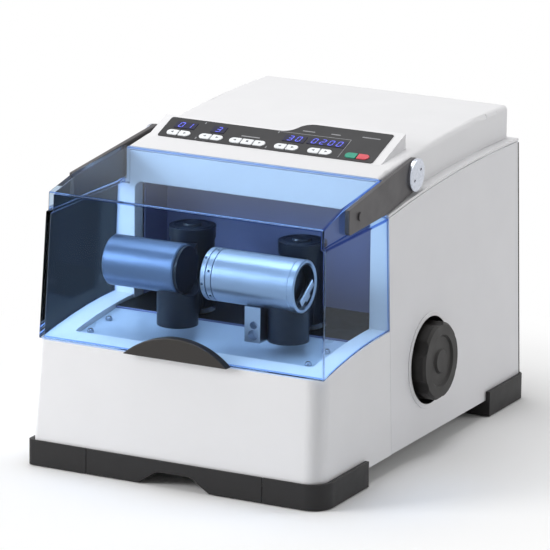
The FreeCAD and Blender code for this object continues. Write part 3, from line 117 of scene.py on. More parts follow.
def surface(name, colour, roughness, metallic=0, mottle=(30, 0.04), relief=(1.2, 0.01), stretch=(1, 1, 1),
            **sockets):
    """A material whose colour darkens by mottle[1] over mottle[0] mm, with relief[0] mm bumps relief[1] mm high."""
    material = bpy.data.materials.new(name)
    material.use_nodes = True
    tree = material.node_tree
    shader = tree.nodes["Principled BSDF"]
    place = add_node(tree, "ShaderNodeTexCoord").outputs["Object"]
    drawn = add_node(tree, "ShaderNodeMapping", {"Vector": place, "Scale": [1 / s for s in stretch]}).outputs[0]
    wide = add_node(tree, "ShaderNodeTexNoise", {"Vector": drawn, "Scale": 1000 / mottle[0], "Detail": 4})
    base = linear(colour)
    darker = tuple(c * (1 - mottle[1]) for c in base[:3]) + (1,)
    tone = add_node(tree, "ShaderNodeMapRange", {"Value": wide.outputs["Fac"], "From Min": NOISE_LOW,
                                                 "From Max": NOISE_HIGH})
    mixed = add_node(tree, "ShaderNodeMix", {"Factor": tone.outputs[0], 6: base, 7: darker}, data_type="RGBA")
    rough = add_node(tree, "ShaderNodeMapRange", {
        "Value": wide.outputs["Fac"], "From Min": NOISE_LOW, "From Max": NOISE_HIGH,
        "To Min": roughness * GLOSSIEST, "To Max": min(1, roughness * DULLEST)})
    fine = add_node(tree, "ShaderNodeTexNoise", {"Vector": drawn, "Scale": 1000 / relief[0], "Detail": 3})
    bump = add_node(tree, "ShaderNodeBump", {"Height": fine.outputs["Fac"], "Distance": relief[1] / 1000})
    tree.links.new(mixed.outputs[2], shader.inputs["Base Color"])
    tree.links.new(rough.outputs[0], shader.inputs["Roughness"])
    tree.links.new(bump.outputs[0], shader.inputs["Normal"])
    shader.inputs["Metallic"].default_value = metallic
    for socket, value in sockets.items():
        shader.inputs[socket.replace("_", " ")].default_value = value
    return material


print("noise between", NOISE_LOW, "and", NOISE_HIGH, "is used")

# %% [markdown]
# ## Painted sheet
# The casing, the side panels and the chamber are steel sheet with baked powder coat. The powder melts into a skin
# with a fine orange peel about a millimetre across, which gives soft, wide highlights. The tray's enamel is
# glossier, and the hidden base plate is zinc plated.

# %% Painted sheet
ORANGE_PEEL = (1.1, 0.012)
white_coat = surface("powder_coat_white", "e6e6e8", 0.45, mottle=(60, 0.02), relief=ORANGE_PEEL)  # cool satin white
grey_coat = surface("powder_coat_pale_grey", "e3e3e6", 0.48, mottle=(60, 0.02), relief=ORANGE_PEEL)  # duller sides
liner_coat = surface("powder_coat_slate", "7479a0", 0.5, mottle=(50, 0.08), relief=ORANGE_PEEL)  # slate blue chamber
tray_coat = surface("enamelled_tray_grey", "bcc6d4", 0.3, mottle=(45, 0.08), relief=(1.4, 0.012))  # wet-looking
zinc = surface("zinc_plated_steel", "b6b8b6", 0.32, 1, mottle=(4, 0.2), relief=(3, 0.01))  # cloudy spangle
print("5 sheet finishes")

# %% [markdown]
# ## Moulded plastics
# The feet, handle, knob and hood bars are moulded plastic with a spark-eroded grain. The grain is finer in life
# and is drawn at 0.7 millimetres so that it shows. The specular level is below the default, because the grain's
# steep sides take light away from the highlights.

# %% Moulded plastics
MOULD_GRAIN = (0.7, 0.02)
black_abs = surface("black_abs", "201f20", 0.5, mottle=(25, 0.12), relief=MOULD_GRAIN,
                    Specular_IOR_Level=0.35)    # near-black feet with a soft sheen
rubber = surface("black_rubber", "1d1c1c", 0.75, mottle=(12, 0.2), relief=(0.9, 0.03))  # dull, a little dusty
bar_coat = surface("moulded_polyamide_grey", "484648", 0.45, mottle=(25, 0.08), relief=(0.8, 0.02),
                   Specular_IOR_Level=0.35)     # the bars, lighter than the handle
handle_abs = surface("moulded_abs_charcoal", "2d2a28", 0.42, mottle=(25, 0.1), relief=(0.7, 0.015),
                     Specular_IOR_Level=0.35)   # warm charcoal, rubbed smoother by hands
knob_abs = surface("moulded_abs_graphite", "1e1c1b", 0.5, mottle=(25, 0.1), relief=MOULD_GRAIN,
                   Specular_IOR_Level=0.35)     # graphite, with its lobes shown by the lamps alone
# Near-black painted shade for wells, holes and hollows.
shade_black = surface("painted_shade_near_black", "0d0c0c", 0.6, mottle=(25, 0.1), relief=MOULD_GRAIN,
                     Specular_IOR_Level=0.2)    # painted shade: near-black for wells and holes that light hardly reaches
print("6 plastics")

# %% [markdown]
# ## Metals
# The two cylinders are turned steel. A lathe leaves fine rings round their axis, which runs along X, so the
# pattern is drawn out along Y and Z. The rings are finer in life and are drawn at half a millimetre. The
# counterweight gets a darker copy of the same steel, and its darkness is painted shade. Shafts and hubs are painted
# castings.

# %% Metals
ALONG_RINGS = (1, 200, 200)
turned = surface("turned_steel", "b4bbc8", 0.31, 1, mottle=(1.2, 0.03), relief=(0.5, 0.0004),
                 stretch=ALONG_RINGS)           # bright, with the highlight drawn along the cylinder
turned_painted_shade = surface("turned_steel_painted_shade", "78869e", 0.31, 1, mottle=(1.2, 0.04), relief=(0.5, 0.0005),
                      stretch=ALONG_RINGS)      # the same steel painted darker, as shade
faced = surface("ground_steel", "c8cdd8", 0.24, 1, mottle=(3, 0.14), relief=(0.5, 0.003))  # cloudy mirror
dark_cast = surface("painted_casting_navy", "131a28", 0.36, mottle=(10, 0.25), relief=(1.6, 0.04),
                    Specular_IOR_Level=0.4)     # dark paint over a sand-cast skin
aluminium = surface("cast_aluminium", "a6abb3", 0.38, 1, mottle=(5, 0.2), relief=(1.2, 0.05))  # matt, pitted
brass = surface("nickel_plated_brass", "c6c4bd", 0.25, 1, mottle=(3, 0.15), relief=(0.6, 0.003))  # warm silver
print("6 metals")

# %% [markdown]
# ## Console films and prints
# The panel is a printed polyester film with dark windows over the displays. The keys are printed caps, and the
# digits glow a little by themselves, so they have emission. It is weak, because the photograph's room is bright.

# %% Console films and prints
FILM_GRAIN, PRINT_GRAIN = (0.5, 0.006), (0.4, 0.003)
membrane_film = surface("printed_polyester_film", "1d1d20", 0.42, mottle=(30, 0.1), relief=(0.5, 0.008),
                        Specular_IOR_Level=0.3)     # satin black sheet
window_film = surface("display_filter_blue", "0e0f33", 0.3, mottle=(20, 0.15), relief=(2, 0.003),
                      Specular_IOR_Level=0.25)      # deep blue, smoother than the film round it
digit_light = surface("display_segment_light", "4a52c8", 0.4, mottle=(3, 0.2), relief=(1, 0.002),
                      Emission_Color=linear("6468e6"), Emission_Strength=0.7)  # violet-blue glow
key_white = surface("polyester_key_white", "eef1f4", 0.42, mottle=(14, 0.04), relief=FILM_GRAIN)  # clean white
key_green = surface("polyester_key_green", "009478", 0.42, mottle=(14, 0.08), relief=FILM_GRAIN)  # bluish green
key_red = surface("polyester_key_red", "d84a58", 0.42, mottle=(14, 0.08), relief=FILM_GRAIN)  # soft red
print_grey = surface("screen_print_grey", "8f9094", 0.5, mottle=(6, 0.15), relief=PRINT_GRAIN)  # thin grey ink
key_print = surface("screen_print_slate", "5b6066", 0.5, mottle=(6, 0.15), relief=PRINT_GRAIN)  # darker, on the keys
print("8 films and prints")

# %% [markdown]
# ## Tinted hood material
# The hood is clear blue polycarbonate, extruded as a sheet and bent. Light that only casts shadows would stop at
# it, because Cycles doesn't trace it through a refracting surface, so shadow rays meet a tinted transparent shader
# instead. The real index is 1.58. It is lowered here, because the photograph shows hardly any bending or glare.
# The edges get a deeper blue, a painted shade for the long way that light takes through the sheet there.

# %% Tinted hood material
HOOD_IOR = 1.12


def polycarbonate(name, tint, shade, roughness):
    """Clear tinted sheet; shade is the colour that its shadow rays take."""
    material = surface(name, tint, roughness, mottle=(80, 0.03), relief=(9, 0.002), Transmission_Weight=1,
                       IOR=HOOD_IOR)
    tree = material.node_tree
    shader, output = tree.nodes["Principled BSDF"], tree.nodes["Material Output"]
    clear = add_node(tree, "ShaderNodeBsdfTransparent", {"Color": linear(shade)})
    path = add_node(tree, "ShaderNodeLightPath")
    mix = add_node(tree, "ShaderNodeMixShader", {"Fac": path.outputs["Is Shadow Ray"], 1: shader.outputs[0],
                                                 2: clear.outputs[0]})
    tree.links.new(mix.outputs[0], output.inputs["Surface"])
    return material


hood_sheet = polycarbonate("polycarbonate_blue", "d2e6f9", "d8e8f8", 0.03)          # pale blue walls
hood_painted_shade_edge = polycarbonate("polycarbonate_painted_shade_edge", "5f86da", "9dbdec", 0.08)      # painted shade: deeper blue lines along the edges
hood_painted_highlight_corner = polycarbonate("polycarbonate_painted_highlight_corner", "a3bbe6", "c2d6f2", 0.08)  # painted highlight: paler blue on the right front bend
print("3 hood materials, IOR", HOOD_IOR)

# %% [markdown]
# ## Materials on the CAD nodes
# Every CAD node has a material slot. The first table gives each slot its material, and the second one gives
# single nodes a material of their own. A node that stays in sight gets its finish here, and a node that a finer
# piece replaces passes its material on.

# %% Materials on the CAD nodes
slot_materials = {
    "white_paint": white_coat, "grey_paint": grey_coat, "dark_liner": liner_coat, "base_steel": zinc,
    "black_plastic": black_abs, "rubber": rubber, "tinted_glass": hood_sheet, "dark_bar": bar_coat,
    "bright_steel": turned, "cast_aluminium": aluminium, "dark_metal": dark_cast, "membrane": membrane_film,
    "display": window_film, "grey_plastic": knob_abs, "key_cap": key_white,
}
# The counterweight takes the darker copy of the turned steel, which is painted shade.
own_materials = {
    "hood_handle": handle_abs, "hood_screws": bar_coat, "hinge_pins": faced, "chamber_tray": tray_coat,
    "tray_screws": faced, "counterweight": turned_painted_shade, "counter_shaft": dark_cast, "jar_shaft": dark_cast,
    "handwheel": knob_abs, "key_start": key_green, "key_stop": key_red, "coolant_inlet": brass,
    "exhaust_outlet": brass,
}
slot_of = {part["node"]: part["material_slot"] for part in frame["record"]["subparts"]}
for name, node in nodes.items():
    chosen = own_materials.get(name, slot_materials[slot_of[name]])
    if not node.material_slots:
        node.data.materials.append(chosen)
    for place in node.material_slots:
        place.material = chosen
print(len(slot_of), "nodes have their materials")

# %% [markdown]
# ## Finishing a piece
# `put` makes a Blender object from a bmesh, gives it its materials and lets it ride on a body of the mill. Its
# faces are shaded smooth up to an angle of 35 degrees. The Weighted Normal modifier then leans the shading on the
# large faces, so that a flat sheet between rounded edges looks flat.

# %% Finishing a piece
SMOOTH_ANGLE = math.radians(35)


def put(name, mesh, body, materials, stands_for=()):
    """Finish a bmesh as an object that rides on a body."""
    bmesh.ops.recalc_face_normals(mesh, faces=mesh.faces)
    data = bpy.data.meshes.new(name)
    mesh.to_mesh(data)
    mesh.free()
    for material in materials:
        data.materials.append(material)
    item = bpy.data.objects.new(name, data)
    bpy.context.scene.collection.objects.link(item)
    data.polygons.foreach_set("use_smooth", [True] * len(data.polygons))
    data.set_sharp_from_angle(angle=SMOOTH_ANGLE)
    item.modifiers.new("even_shading", "WEIGHTED_NORMAL").keep_sharp = True
    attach(item, body)
    if stands_for:
        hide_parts(*stands_for)


print("smooth up to", round(math.degrees(SMOOTH_ANGLE)), "degrees")

# %% [markdown]
# ## Shaping a piece
# `softened` copies the mesh of a CAD node, joins its flat facets again and bevels its edges, because a real edge
# is never knife sharp and catches the light. `lathe` spins a profile round an upright axis, and `slab` extrudes
# flat outlines. The results are placed with `moved`.

# %% Shaping a piece
WELD = 0.00002                  # corners this close are one
FLAT_ANGLE = math.radians(1.5)  # facets that meet at less than this are one flat face


def softened(node, width, angle=40, segments=3, edge_material=-1):
    """A merged copy of a CAD node's mesh, with its edges sharper than angle degrees rounded by width."""
    mesh = bmesh.new()
    mesh.from_mesh(nodes[node].data)
    bmesh.ops.remove_doubles(mesh, verts=mesh.verts, dist=WELD)
    bmesh.ops.dissolve_limit(mesh, angle_limit=FLAT_ANGLE, verts=mesh.verts, edges=mesh.edges)
    sharp = [e for e in mesh.edges if len(e.link_faces) == 2 and e.calc_face_angle(0) > math.radians(angle)]
    bmesh.ops.bevel(mesh, geom=sharp, offset=width, segments=segments, profile=0.5, affect="EDGES",
                    clamp_overlap=True, material=edge_material)
    return mesh


def lathe(profile, steps=64, mesh=None, material=0, centre=(0, 0)):
    """Spin a profile of (radius, height) points once round an upright axis."""
    mesh = mesh or bmesh.new()
    before = set(mesh.faces)
    points = [mesh.verts.new((centre[0] + radius, centre[1], height)) for radius, height in profile]
    edges = [mesh.edges.new(pair) for pair in zip(points, points[1:])]
    bmesh.ops.spin(mesh, geom=points + edges, cent=(*centre, 0), axis=(0, 0, 1), angle=2 * math.pi, steps=steps,
                   use_merge=True)
    bmesh.ops.remove_doubles(mesh, verts=mesh.verts, dist=WELD / 10)
    for face in set(mesh.faces) - before:
        face.material_index = material
    return mesh


def slab(outlines, low, high, mesh=None, edge=0, material=0):
    """Flat outlines given a thickness from low to high, with the top edge rounded by edge."""
    mesh = mesh or bmesh.new()
    for outline in outlines:
        face = mesh.faces.new([mesh.verts.new((x, y, low)) for x, y in outline])
        face.material_index = material
        raised = bmesh.ops.extrude_face_region(mesh, geom=[face])["geom"]
        points = [g for g in raised if isinstance(g, bmesh.types.BMVert)]
        bmesh.ops.translate(mesh, verts=points, vec=(0, 0, high - low))
        if edge:
            rim = {e for v in points for e in v.link_edges if all(w in points for w in e.verts)}
            bmesh.ops.bevel(mesh, geom=list(rim), offset=edge, segments=3, profile=0.5, affect="EDGES", material=-1)
    return mesh


def moved(mesh, matrix):
    """Place a bmesh in the row frame."""
    bmesh.ops.transform(mesh, matrix=matrix, verts=mesh.verts)
    return mesh


print("shaping tools ready")

# %% [markdown]
# ## Hood
# The hood is one sheet with bent edges. Its edges are bevelled, and the bevels get a deeper blue of painted shade as
# a second material. The bend up its right front corner gets a paler blue, a painted highlight where light passes
# through it from both sides. A Solidify modifier on a single surface would also do, but the CAD solid already has the
# sheet's thickness.

# %% Hood
HIGHLIGHT_CORNER_X, HIGHLIGHT_CORNER_Y, HIGHLIGHT_CORNER_TOP = 0.15, -0.235, 0.3
# The bevels take the second material, the deeper blue of painted shade.
mesh = softened("hood_shell", 0.0012, 20, edge_material=1)
# Bevel faces low in the right front corner get the paler blue of the painted highlight.
for face in mesh.faces:
    spot = face.calc_center_median()
    if face.material_index == 1 and spot.x > HIGHLIGHT_CORNER_X and spot.y < HIGHLIGHT_CORNER_Y and spot.z < HIGHLIGHT_CORNER_TOP:
        face.material_index = 2
pale = sum(face.material_index == 2 for face in mesh.faces)
put("hood", mesh, "hood", [hood_sheet, hood_painted_shade_edge, hood_painted_highlight_corner], ["hood_shell"])
print("hood made,", pale, "faces in its pale corner")

# %% [markdown]
# ## Casing, feet and hood bars
# Bent sheet has a bend radius of about a millimetre at its edges, and moulded feet and handles have a larger one.
# The CAD shapes are right otherwise, so each piece is its CAD node with rounded edges.

# %% Casing, feet and hood bars
EDGE_RADIUS = {
    "front_casing": 0.0012, "top_cover": 0.0008, "side_panel_left": 0.0006, "side_panel_right": 0.0006,
    "chamber_tray": 0.0008, "bulkhead_frame": 0.001, "front_base_left": 0.0014, "front_base_centre": 0.0014,
    "front_base_right": 0.0014, "rear_foot_left": 0.0014, "rear_foot_right": 0.0014, "hood_bar_left": 0.0009,
    "hood_bar_right": 0.0009, "hood_handle": 0.0022,
}
for name, radius in EDGE_RADIUS.items():
    body = "hood" if name.startswith("hood_") else "housing"
    put(name + "_finish", softened(name, radius), body, [nodes[name].material_slots[0].material], [name])
print(len(EDGE_RADIUS), "nodes with rounded edges")

# %% [markdown]
# ## Display digits
# The console is tilted, so its pieces are drawn flat in its own frame, with X across, Y up the slope and Z out of
# it, and then placed together. A digit is made of the usual seven light bars. Each bar has pointed ends and
# leans a little to the right. The bars are extruded outlines, because a font would give plain numbers instead.

# %% Display digits
CONSOLE_TILT = math.radians(20.5)
console = Matrix.Translation((0, -0.047, 0.3502)) @ Matrix.Rotation(CONSOLE_TILT, 4, "X")
FILM_TOP, WINDOW_TOP, INK = 0.0008, 0.0013, 0.0001
DIGIT_HIGH, DIGIT_PITCH, DIGIT_LEAN = 0.0092, 0.0108, 0.14
BAR_ENDS = {"a": ((-1, 2), (1, 2)), "b": ((1, 2), (1, 1)), "c": ((1, 1), (1, 0)), "d": ((-1, 0), (1, 0)),
            "e": ((-1, 1), (-1, 0)), "f": ((-1, 2), (-1, 1)), "g": ((-1, 1), (1, 1))}
LIT_BARS = {"0": "abcdef", "1": "bc", "2": "abged", "3": "abgcd"}
DISPLAYS = ((-0.1215, 0.0275, "01"), (-0.0775, 0.0275, "3"), (0.0215, 0.029, "30"), (0.0635, 0.0295, "0200"))


def digit_bars(x, y, figure):
    """Outlines of the lit bars of one digit whose centre is at x, y."""
    wide, half, thick = DIGIT_HIGH * 0.56, DIGIT_HIGH / 2, DIGIT_HIGH * 0.062
    bars = []
    for bar in LIT_BARS[figure]:
        (x0, y0), (x1, y1) = [(across * wide / 2, (row - 1) * half) for across, row in BAR_ENDS[bar]]
        along = Vector((x1 - x0, y1 - y0)).normalized()
        side = Vector((-along.y, along.x)) * thick
        start = Vector((x0, y0)) + along * thick * 0.35
        end = Vector((x1, y1)) - along * thick * 0.35
        points = [start, start + along * thick - side, end - along * thick - side, end,
                  end - along * thick + side, start + along * thick + side]
        bars.append([(x + p.x + p.y * DIGIT_LEAN, y + p.y) for p in points])
    return bars


digits = []
for x, y, figures in DISPLAYS:
    for i, figure in enumerate(figures):
        digits += digit_bars(x + (i - (len(figures) - 1) / 2) * DIGIT_PITCH, y, figure)
put("display_digits", moved(slab(digits, WINDOW_TOP - INK, WINDOW_TOP + 2 * INK), console), "housing",
    [digit_light])
print(len(digits), "lit bars")

# %% [markdown]
# ## Panel print
# Thin grey lines and short bars are screen printed on the film. Ink has almost no thickness, so each is an
# extruded strip a tenth of a millimetre above the film.

# %% Panel print
FRAME_LINES = ((-0.002, 0.0405, 0.089, 0.0415), (0.089, 0.0415, 0.089, 0.004))
CAPTION_BARS = ((-0.033, 0.0215, 0.012), (0.031, 0.0475, 0.008), (0.066, 0.048, 0.006), (0.111, 0.05, 0.0115))
TICKS = ((-0.1, 0.0395), (-0.0975, 0.007), (-0.004, 0.0405), (-0.005, 0.007))
TICK_LONG = 0.0035


def strip(x0, y0, x1, y1, half):
    """Outline of a straight printed line that is 2 * half wide."""
    side = Vector((y0 - y1, x1 - x0)).normalized() * half
    return [(x0 - side.x, y0 - side.y), (x1 - side.x, y1 - side.y), (x1 + side.x, y1 + side.y),
            (x0 + side.x, y0 + side.y)]


lines = [strip(*ends, 0.00035) for ends in FRAME_LINES]
lines += [strip(x - half, y, x + half, y, 0.0009) for x, y, half in CAPTION_BARS]
lines += [strip(x, y, x, y - TICK_LONG, 0.0008) for x, y in TICKS]
put("panel_print", moved(slab(lines, FILM_TOP - INK, FILM_TOP + INK), console), "housing", [print_grey])
print(len(lines), "printed lines")

# %% [markdown]
# ## Keys
# Each key is a short cap on its own body, so that it can be pressed. The caps are the CAD keys with rounded rims.
# A pair of keys carries arrows that point left and right, and the other keys carry a square in the cap's colour,
# which the middle mode key has in print. Both are thin extruded marks that ride on the key.

# %% Keys
mm = 0.001
KEY_ROW, MARK_LOW, MARK_HIGH = 0.0106, 0.0018, 0.00205
ARROW_TIP, ARROW_BACK, ARROW_HALF, SQUARE_HALF = 0.0022, 0.0012, 0.0016, 0.0014
KEYS = {"memory_down": (-131, -1), "memory_up": (-115, 1), "cycle_down": (-88, -1), "cycle_up": (-72, 1),
        "mode_left": (-48, -1), "mode_centre": (-32, 0), "mode_right": (-16, 1), "frequency_down": (11, -1),
        "frequency_up": (27, 1), "time_down": (54.5, -1), "time_up": (70.5, 1), "start": (103, 0), "stop": (119, 0)}
for name, (x, way) in KEYS.items():
    cap = {"start": key_green, "stop": key_red}.get(name, key_white)
    put("cap_" + name, softened("key_" + name, 0.0009, 50), "button_" + name, [cap], ["key_" + name])
    if way:
        mark = [(way * ARROW_TIP, 0), (-way * ARROW_BACK, ARROW_HALF), (-way * ARROW_BACK, -ARROW_HALF)]
    else:
        mark = [(a * SQUARE_HALF, b * SQUARE_HALF) for a, b in ((-1, -1), (1, -1), (1, 1), (-1, 1))]
    mesh = slab([[(x * mm + a, KEY_ROW + b) for a, b in mark]], MARK_LOW, MARK_HIGH)
    printed = key_print if way or name == "mode_centre" else cap
    put("mark_" + name, moved(mesh, console), "button_" + name, [printed])
print(len(KEYS), "keys made")

# %% [markdown]
# ## Painted shade on the chamber floor
# The chamber's floor is painted near-black as shade. It is a copy of the liner in which the faces that look up low
# down get a second material. A separate dark sheet would have to be cut round both shafts again.

# %% Painted shade on the chamber floor
FLOOR_SHADE_TOP = 0.175
mesh = softened("chamber_liner", 0.0006, segments=2)
# Low faces that look up get the near-black painted shade.
for face in mesh.faces:
    if face.normal.z > 0.5 and face.calc_center_median().z < FLOOR_SHADE_TOP:
        face.material_index = 1
put("chamber_liner_finish", mesh, "housing", [liner_coat, shade_black], ["chamber_liner"])
print("mat below", FLOOR_SHADE_TOP, "m")

# %% [markdown]
# ## Jar holder
# The holder's open end looks right, along X. Its bore is dark, a dark lid lies inside it, and a bright plate with
# a grip bar closes one side of the bore. The round pieces are spun profiles. The plate is the part of a circle
# beyond a chord. All are drawn along Z first and then turned with the holder's axis.

# %% Jar holder
AXIS_Y, AXIS_Z, BORE = -0.195, 0.238, 0.0246
along_x = Matrix.Translation((0, AXIS_Y, AXIS_Z)) @ Matrix(((0, 0, 1, 0), (1, 0, 0, 0), (0, 1, 0, 0), (0, 0, 0, 1)))
sleeve = lathe([(BORE - 0.0004, 0.1126), (BORE, 0.1126), (BORE, 0.1258), (BORE - 0.0004, 0.1258)])
put("bore_sleeve", moved(sleeve, along_x), "jar_swing_arm", [dark_cast])
lid = lathe([(0, 0.1163), (0.006, 0.1163), (0.0068, 0.1155), (0.0068, 0.1143), (0.019, 0.1143), (0.0198, 0.1135),
             (0.0206, 0.1143), (0.0228, 0.1143), (0.0236, 0.1136), (0.0236, 0.1126)])
put("jar_lid", moved(lid, along_x), "jar_swing_arm", [dark_cast])
print("bore is", round(2000 * BORE, 1), "mm wide")

# %% [markdown]
# ## Grip in the jar holder
# The plate, the bar across it and the small key on the bar are three slabs in one mesh. The bar stands on the
# plate, near the chord, and its length follows from the circle there.

# %% Grip in the jar holder
PLATE_LOW, PLATE_TOP, BAR_TOP, KEY_TOP = 0.119, 0.1222, 0.127, 0.1256
CHORD, BAR_REACH, KEY_REACH = 0.0098, 0.0056, 0.0115
GRIP_TURN = math.radians(-57)
half_angle = math.acos(CHORD / BORE)
turns = [half_angle * (i / 12 - 1) for i in range(25)]
plate = slab([[(BORE * math.cos(a), BORE * math.sin(a)) for a in turns]], PLATE_LOW, PLATE_TOP, edge=0.0004)
half = math.sqrt((BORE - 0.0008) ** 2 - (CHORD + 0.006) ** 2)
inner, outer = CHORD - 0.0036, CHORD + BAR_REACH
slab([[(inner, -half), (outer, -half), (outer, half), (inner, half)]], PLATE_TOP, BAR_TOP, plate, edge=0.0012)
tip = CHORD + KEY_REACH
slab([[(outer, -0.007), (tip, -0.005), (tip, 0.005), (outer, 0.007)]], PLATE_TOP, KEY_TOP, plate, edge=0.0008)
put("jar_grip", moved(plate, along_x @ Matrix.Rotation(GRIP_TURN, 4, "Z")), "jar_swing_arm", [faced])
print("grip bar", round(2000 * half, 1), "mm long")

# %% [markdown]
# ## Shaft caps
# A dark cap with a raised boss closes the top of each swing shaft. Its rim has a small step, which catches the
# light. One spun profile makes both.

# %% Shaft caps
SHAFT_X, SHAFT_Y = 0.0715, -0.096
CAP_PROFILE = [(0, 0.2668), (0.0085, 0.2668), (0.0105, 0.266), (0.0112, 0.2646), (0.0112, 0.2632),
               (0.0205, 0.2632), (0.0212, 0.2637), (0.0226, 0.2637), (0.0233, 0.2629)]
for name, x in (("counter", -SHAFT_X), ("jar", SHAFT_X)):
    put(name + "_hub_cap", moved(lathe(CAP_PROFILE), Matrix.Translation((x, SHAFT_Y, 0))), name + "_swing_arm",
        [dark_cast])
print("2 shaft caps")

# %% [markdown]
# ## Tray screws
# Four socket screws hold the tray. A head is a spun profile with a bevelled rim, and a near-black hexagon on its
# top is painted shade that stands for the socket. The tray's floor rises to the rear, so the rear pair sits higher.

# %% Tray screws
SCREW_RADIUS, SCREW_HIGH = 0.0034, 0.0022
TRAY_SCREWS = ((0.141, -0.17, 0.1587), (-0.141, -0.17, 0.1587), (0.141, -0.213, 0.1543), (-0.141, -0.213, 0.1543))


def socket_screw(radius, high):
    """Round screw head with a hexagon of painted shade for its socket."""
    head = lathe([(0, high), (radius * 0.8, high), (radius, high * 0.72), (radius, 0)], 36)
    corners = [radius * 0.48 * Vector((math.cos(math.pi * i / 3), math.sin(math.pi * i / 3))) for i in range(6)]
    return slab([[(corner.x, corner.y) for corner in corners]], high - 0.0004, high + 0.0001, head, material=1)


for i, spot in enumerate(TRAY_SCREWS):
    put("tray_bolt_%d" % (i + 1), moved(socket_screw(SCREW_RADIUS, SCREW_HIGH), Matrix.Translation(spot)), "housing",
        [faced, shade_black])
print(len(TRAY_SCREWS), "tray screws")

# %% [markdown]
# ## Hinge discs
# A disc of ground steel covers each end of the hood's hinge. Its rim is bevelled, and two small holes take a
# spanner. A hole is a low spun lip with a near-black floor of painted shade, which looks deep and leaves the disc
# whole.

# %% Hinge discs
HINGE_X, HINGE_Y, HINGE_Z, HOLE_OUT, DISC_TURN = 0.1758, -0.011, 0.335, 0.0095, 0.6
for name, side in (("left", -1), ("right", 1)):
    disc = lathe([(0, 0.0006), (0.0035, 0.0006), (0.0045, 0.001), (0.0168, 0.001), (0.0184, 0.0002),
                  (0.0184, -0.001)], 72)
    for out in (-HOLE_OUT, HOLE_OUT):
        lathe([(0.0021, 0.00115), (0.0017, 0.00115), (0.0015, 0.001)], 24, disc, 0, (out, 0))
        # The floor of each hole is near-black painted shade.
        lathe([(0.0015, 0.00102), (0, 0.00102)], 24, disc, 1, (out, 0))
    outwards = Vector((side, 0, 0)).to_track_quat("Z", "Y").to_matrix().to_4x4()
    spot = Matrix.Translation((side * HINGE_X, HINGE_Y, HINGE_Z)) @ outwards @ Matrix.Rotation(DISC_TURN, 4, "Z")
    put("hinge_disc_" + name, moved(disc, spot), "housing", [faced, shade_black])
print("2 hinge discs")

# %% [markdown]
# ## Handwheel
# The handwheel turns in a well that is painted near-black as shade, and the well has a pale rim. The rim and the
# well are one CAD node, so its copy gets the painted shade as a second material on the faces that lie inside the
# rim. The wheel itself only needs rounded lobes.

# %% Handwheel
WHEEL_Y, WHEEL_Z, RIM_INNER, RIM_OUTER = 0.016, 0.1085, 0.0508, 0.0535
mesh = softened("handwheel_recess", 0.0005, segments=2)
# Faces inside the rim get the near-black painted shade.
for face in mesh.faces:
    reach = [math.hypot(v.co.y - WHEEL_Y, v.co.z - WHEEL_Z) for v in face.verts]
    face.material_index = 0 if min(reach) > RIM_INNER and max(reach) > RIM_OUTER else 1
put("handwheel_surround", mesh, "housing", [white_coat, shade_black], ["handwheel_recess"])
put("handwheel_finish", softened("handwheel", 0.0012), "handwheel_knob", [knob_abs], ["handwheel"])
print("handwheel dressed")

# %% [markdown]
# ## Mains pins and rocker marks
# Flat pins stand in the mains socket, and the rocker carries a bar for on and a ring for off. They are drawn flat
# and turned onto the back, where X runs the other way. The ring is a small rectangle, spun.

# %% Mains pins and rocker marks
back_face = Matrix(((-1, 0, 0, 0), (0, 0, 1, 0), (0, 1, 0, 0), (0, 0, 0, 1)))
PINS, PIN_LOW, PIN_TOP = ((0.1, 0.072), (0.114, 0.072), (0.107, 0.0765)), 0.2505, 0.264
ROCKER_X, RING_Z, BAR_Z, MARK_BACK, MARK_FRONT = 0.0805, 0.0692, (0.0765, 0.0805), 0.2692, 0.26945
RING_IN, RING_OUT = 0.0014, 0.0021
pins = slab([strip(x - 0.001, z, x + 0.001, z, 0.002) for x, z in PINS], PIN_LOW, PIN_TOP, edge=0.0005)
put("mains_pins", moved(pins, back_face), "housing", [brass])
marks = slab([strip(ROCKER_X, BAR_Z[0], ROCKER_X, BAR_Z[1], 0.0005)], MARK_BACK, MARK_FRONT)
lathe([(RING_IN, MARK_BACK), (RING_OUT, MARK_BACK), (RING_OUT, MARK_FRONT), (RING_IN, MARK_FRONT),
       (RING_IN, MARK_BACK)], 24, marks, 0, (ROCKER_X, RING_Z))
put("rocker_marks", moved(marks, back_face), "mains_rocker", [key_white])
print(len(PINS), "mains pins, 2 rocker marks")

# %% [markdown]
# ## Painted shade along the rear edges
# A thin near-black strip runs down the rear edge of each side panel, which leans inwards. It is painted shade for the
# rear panel's outline, and takes the rubber material. Its section is drawn at the bottom and extruded to the top of
# the panel, with the panel's lean.

# %% Painted shade along the rear edges
SHADE_LINE_LOW, SHADE_LINE_HIGH = (0.18592, 0.02), (0.17694, 0.3176)
SHADE_LINE_SECTION = ((-0.0004, 0.2640), (0.0004, 0.2640), (0.0006, 0.2650), (0.0004, 0.2661), (-0.0004, 0.2661))
for name, side in (("left", -1), ("right", 1)):
    shade_line = bmesh.new()
    foot = shade_line.faces.new([shade_line.verts.new((side * (SHADE_LINE_LOW[0] + out), y, SHADE_LINE_LOW[1]))
                             for out, y in SHADE_LINE_SECTION])
    raised = bmesh.ops.extrude_face_region(shade_line, geom=[foot])["geom"]
    rise = (side * (SHADE_LINE_HIGH[0] - SHADE_LINE_LOW[0]), 0, SHADE_LINE_HIGH[1] - SHADE_LINE_LOW[1])
    bmesh.ops.translate(shade_line, verts=[g for g in raised if isinstance(g, bmesh.types.BMVert)], vec=rise)
    put("rear_painted_shade_line_" + name, shade_line, "housing", [rubber])
print("2 edgings")

# %% [markdown]
# ## Lamps
# A large lamp above lights the lid most, one at the front left lights the face, and a weak one at the rear right
# keeps the side a little darker. Large area lamps give soft shadows, as a photographer's light tents do.

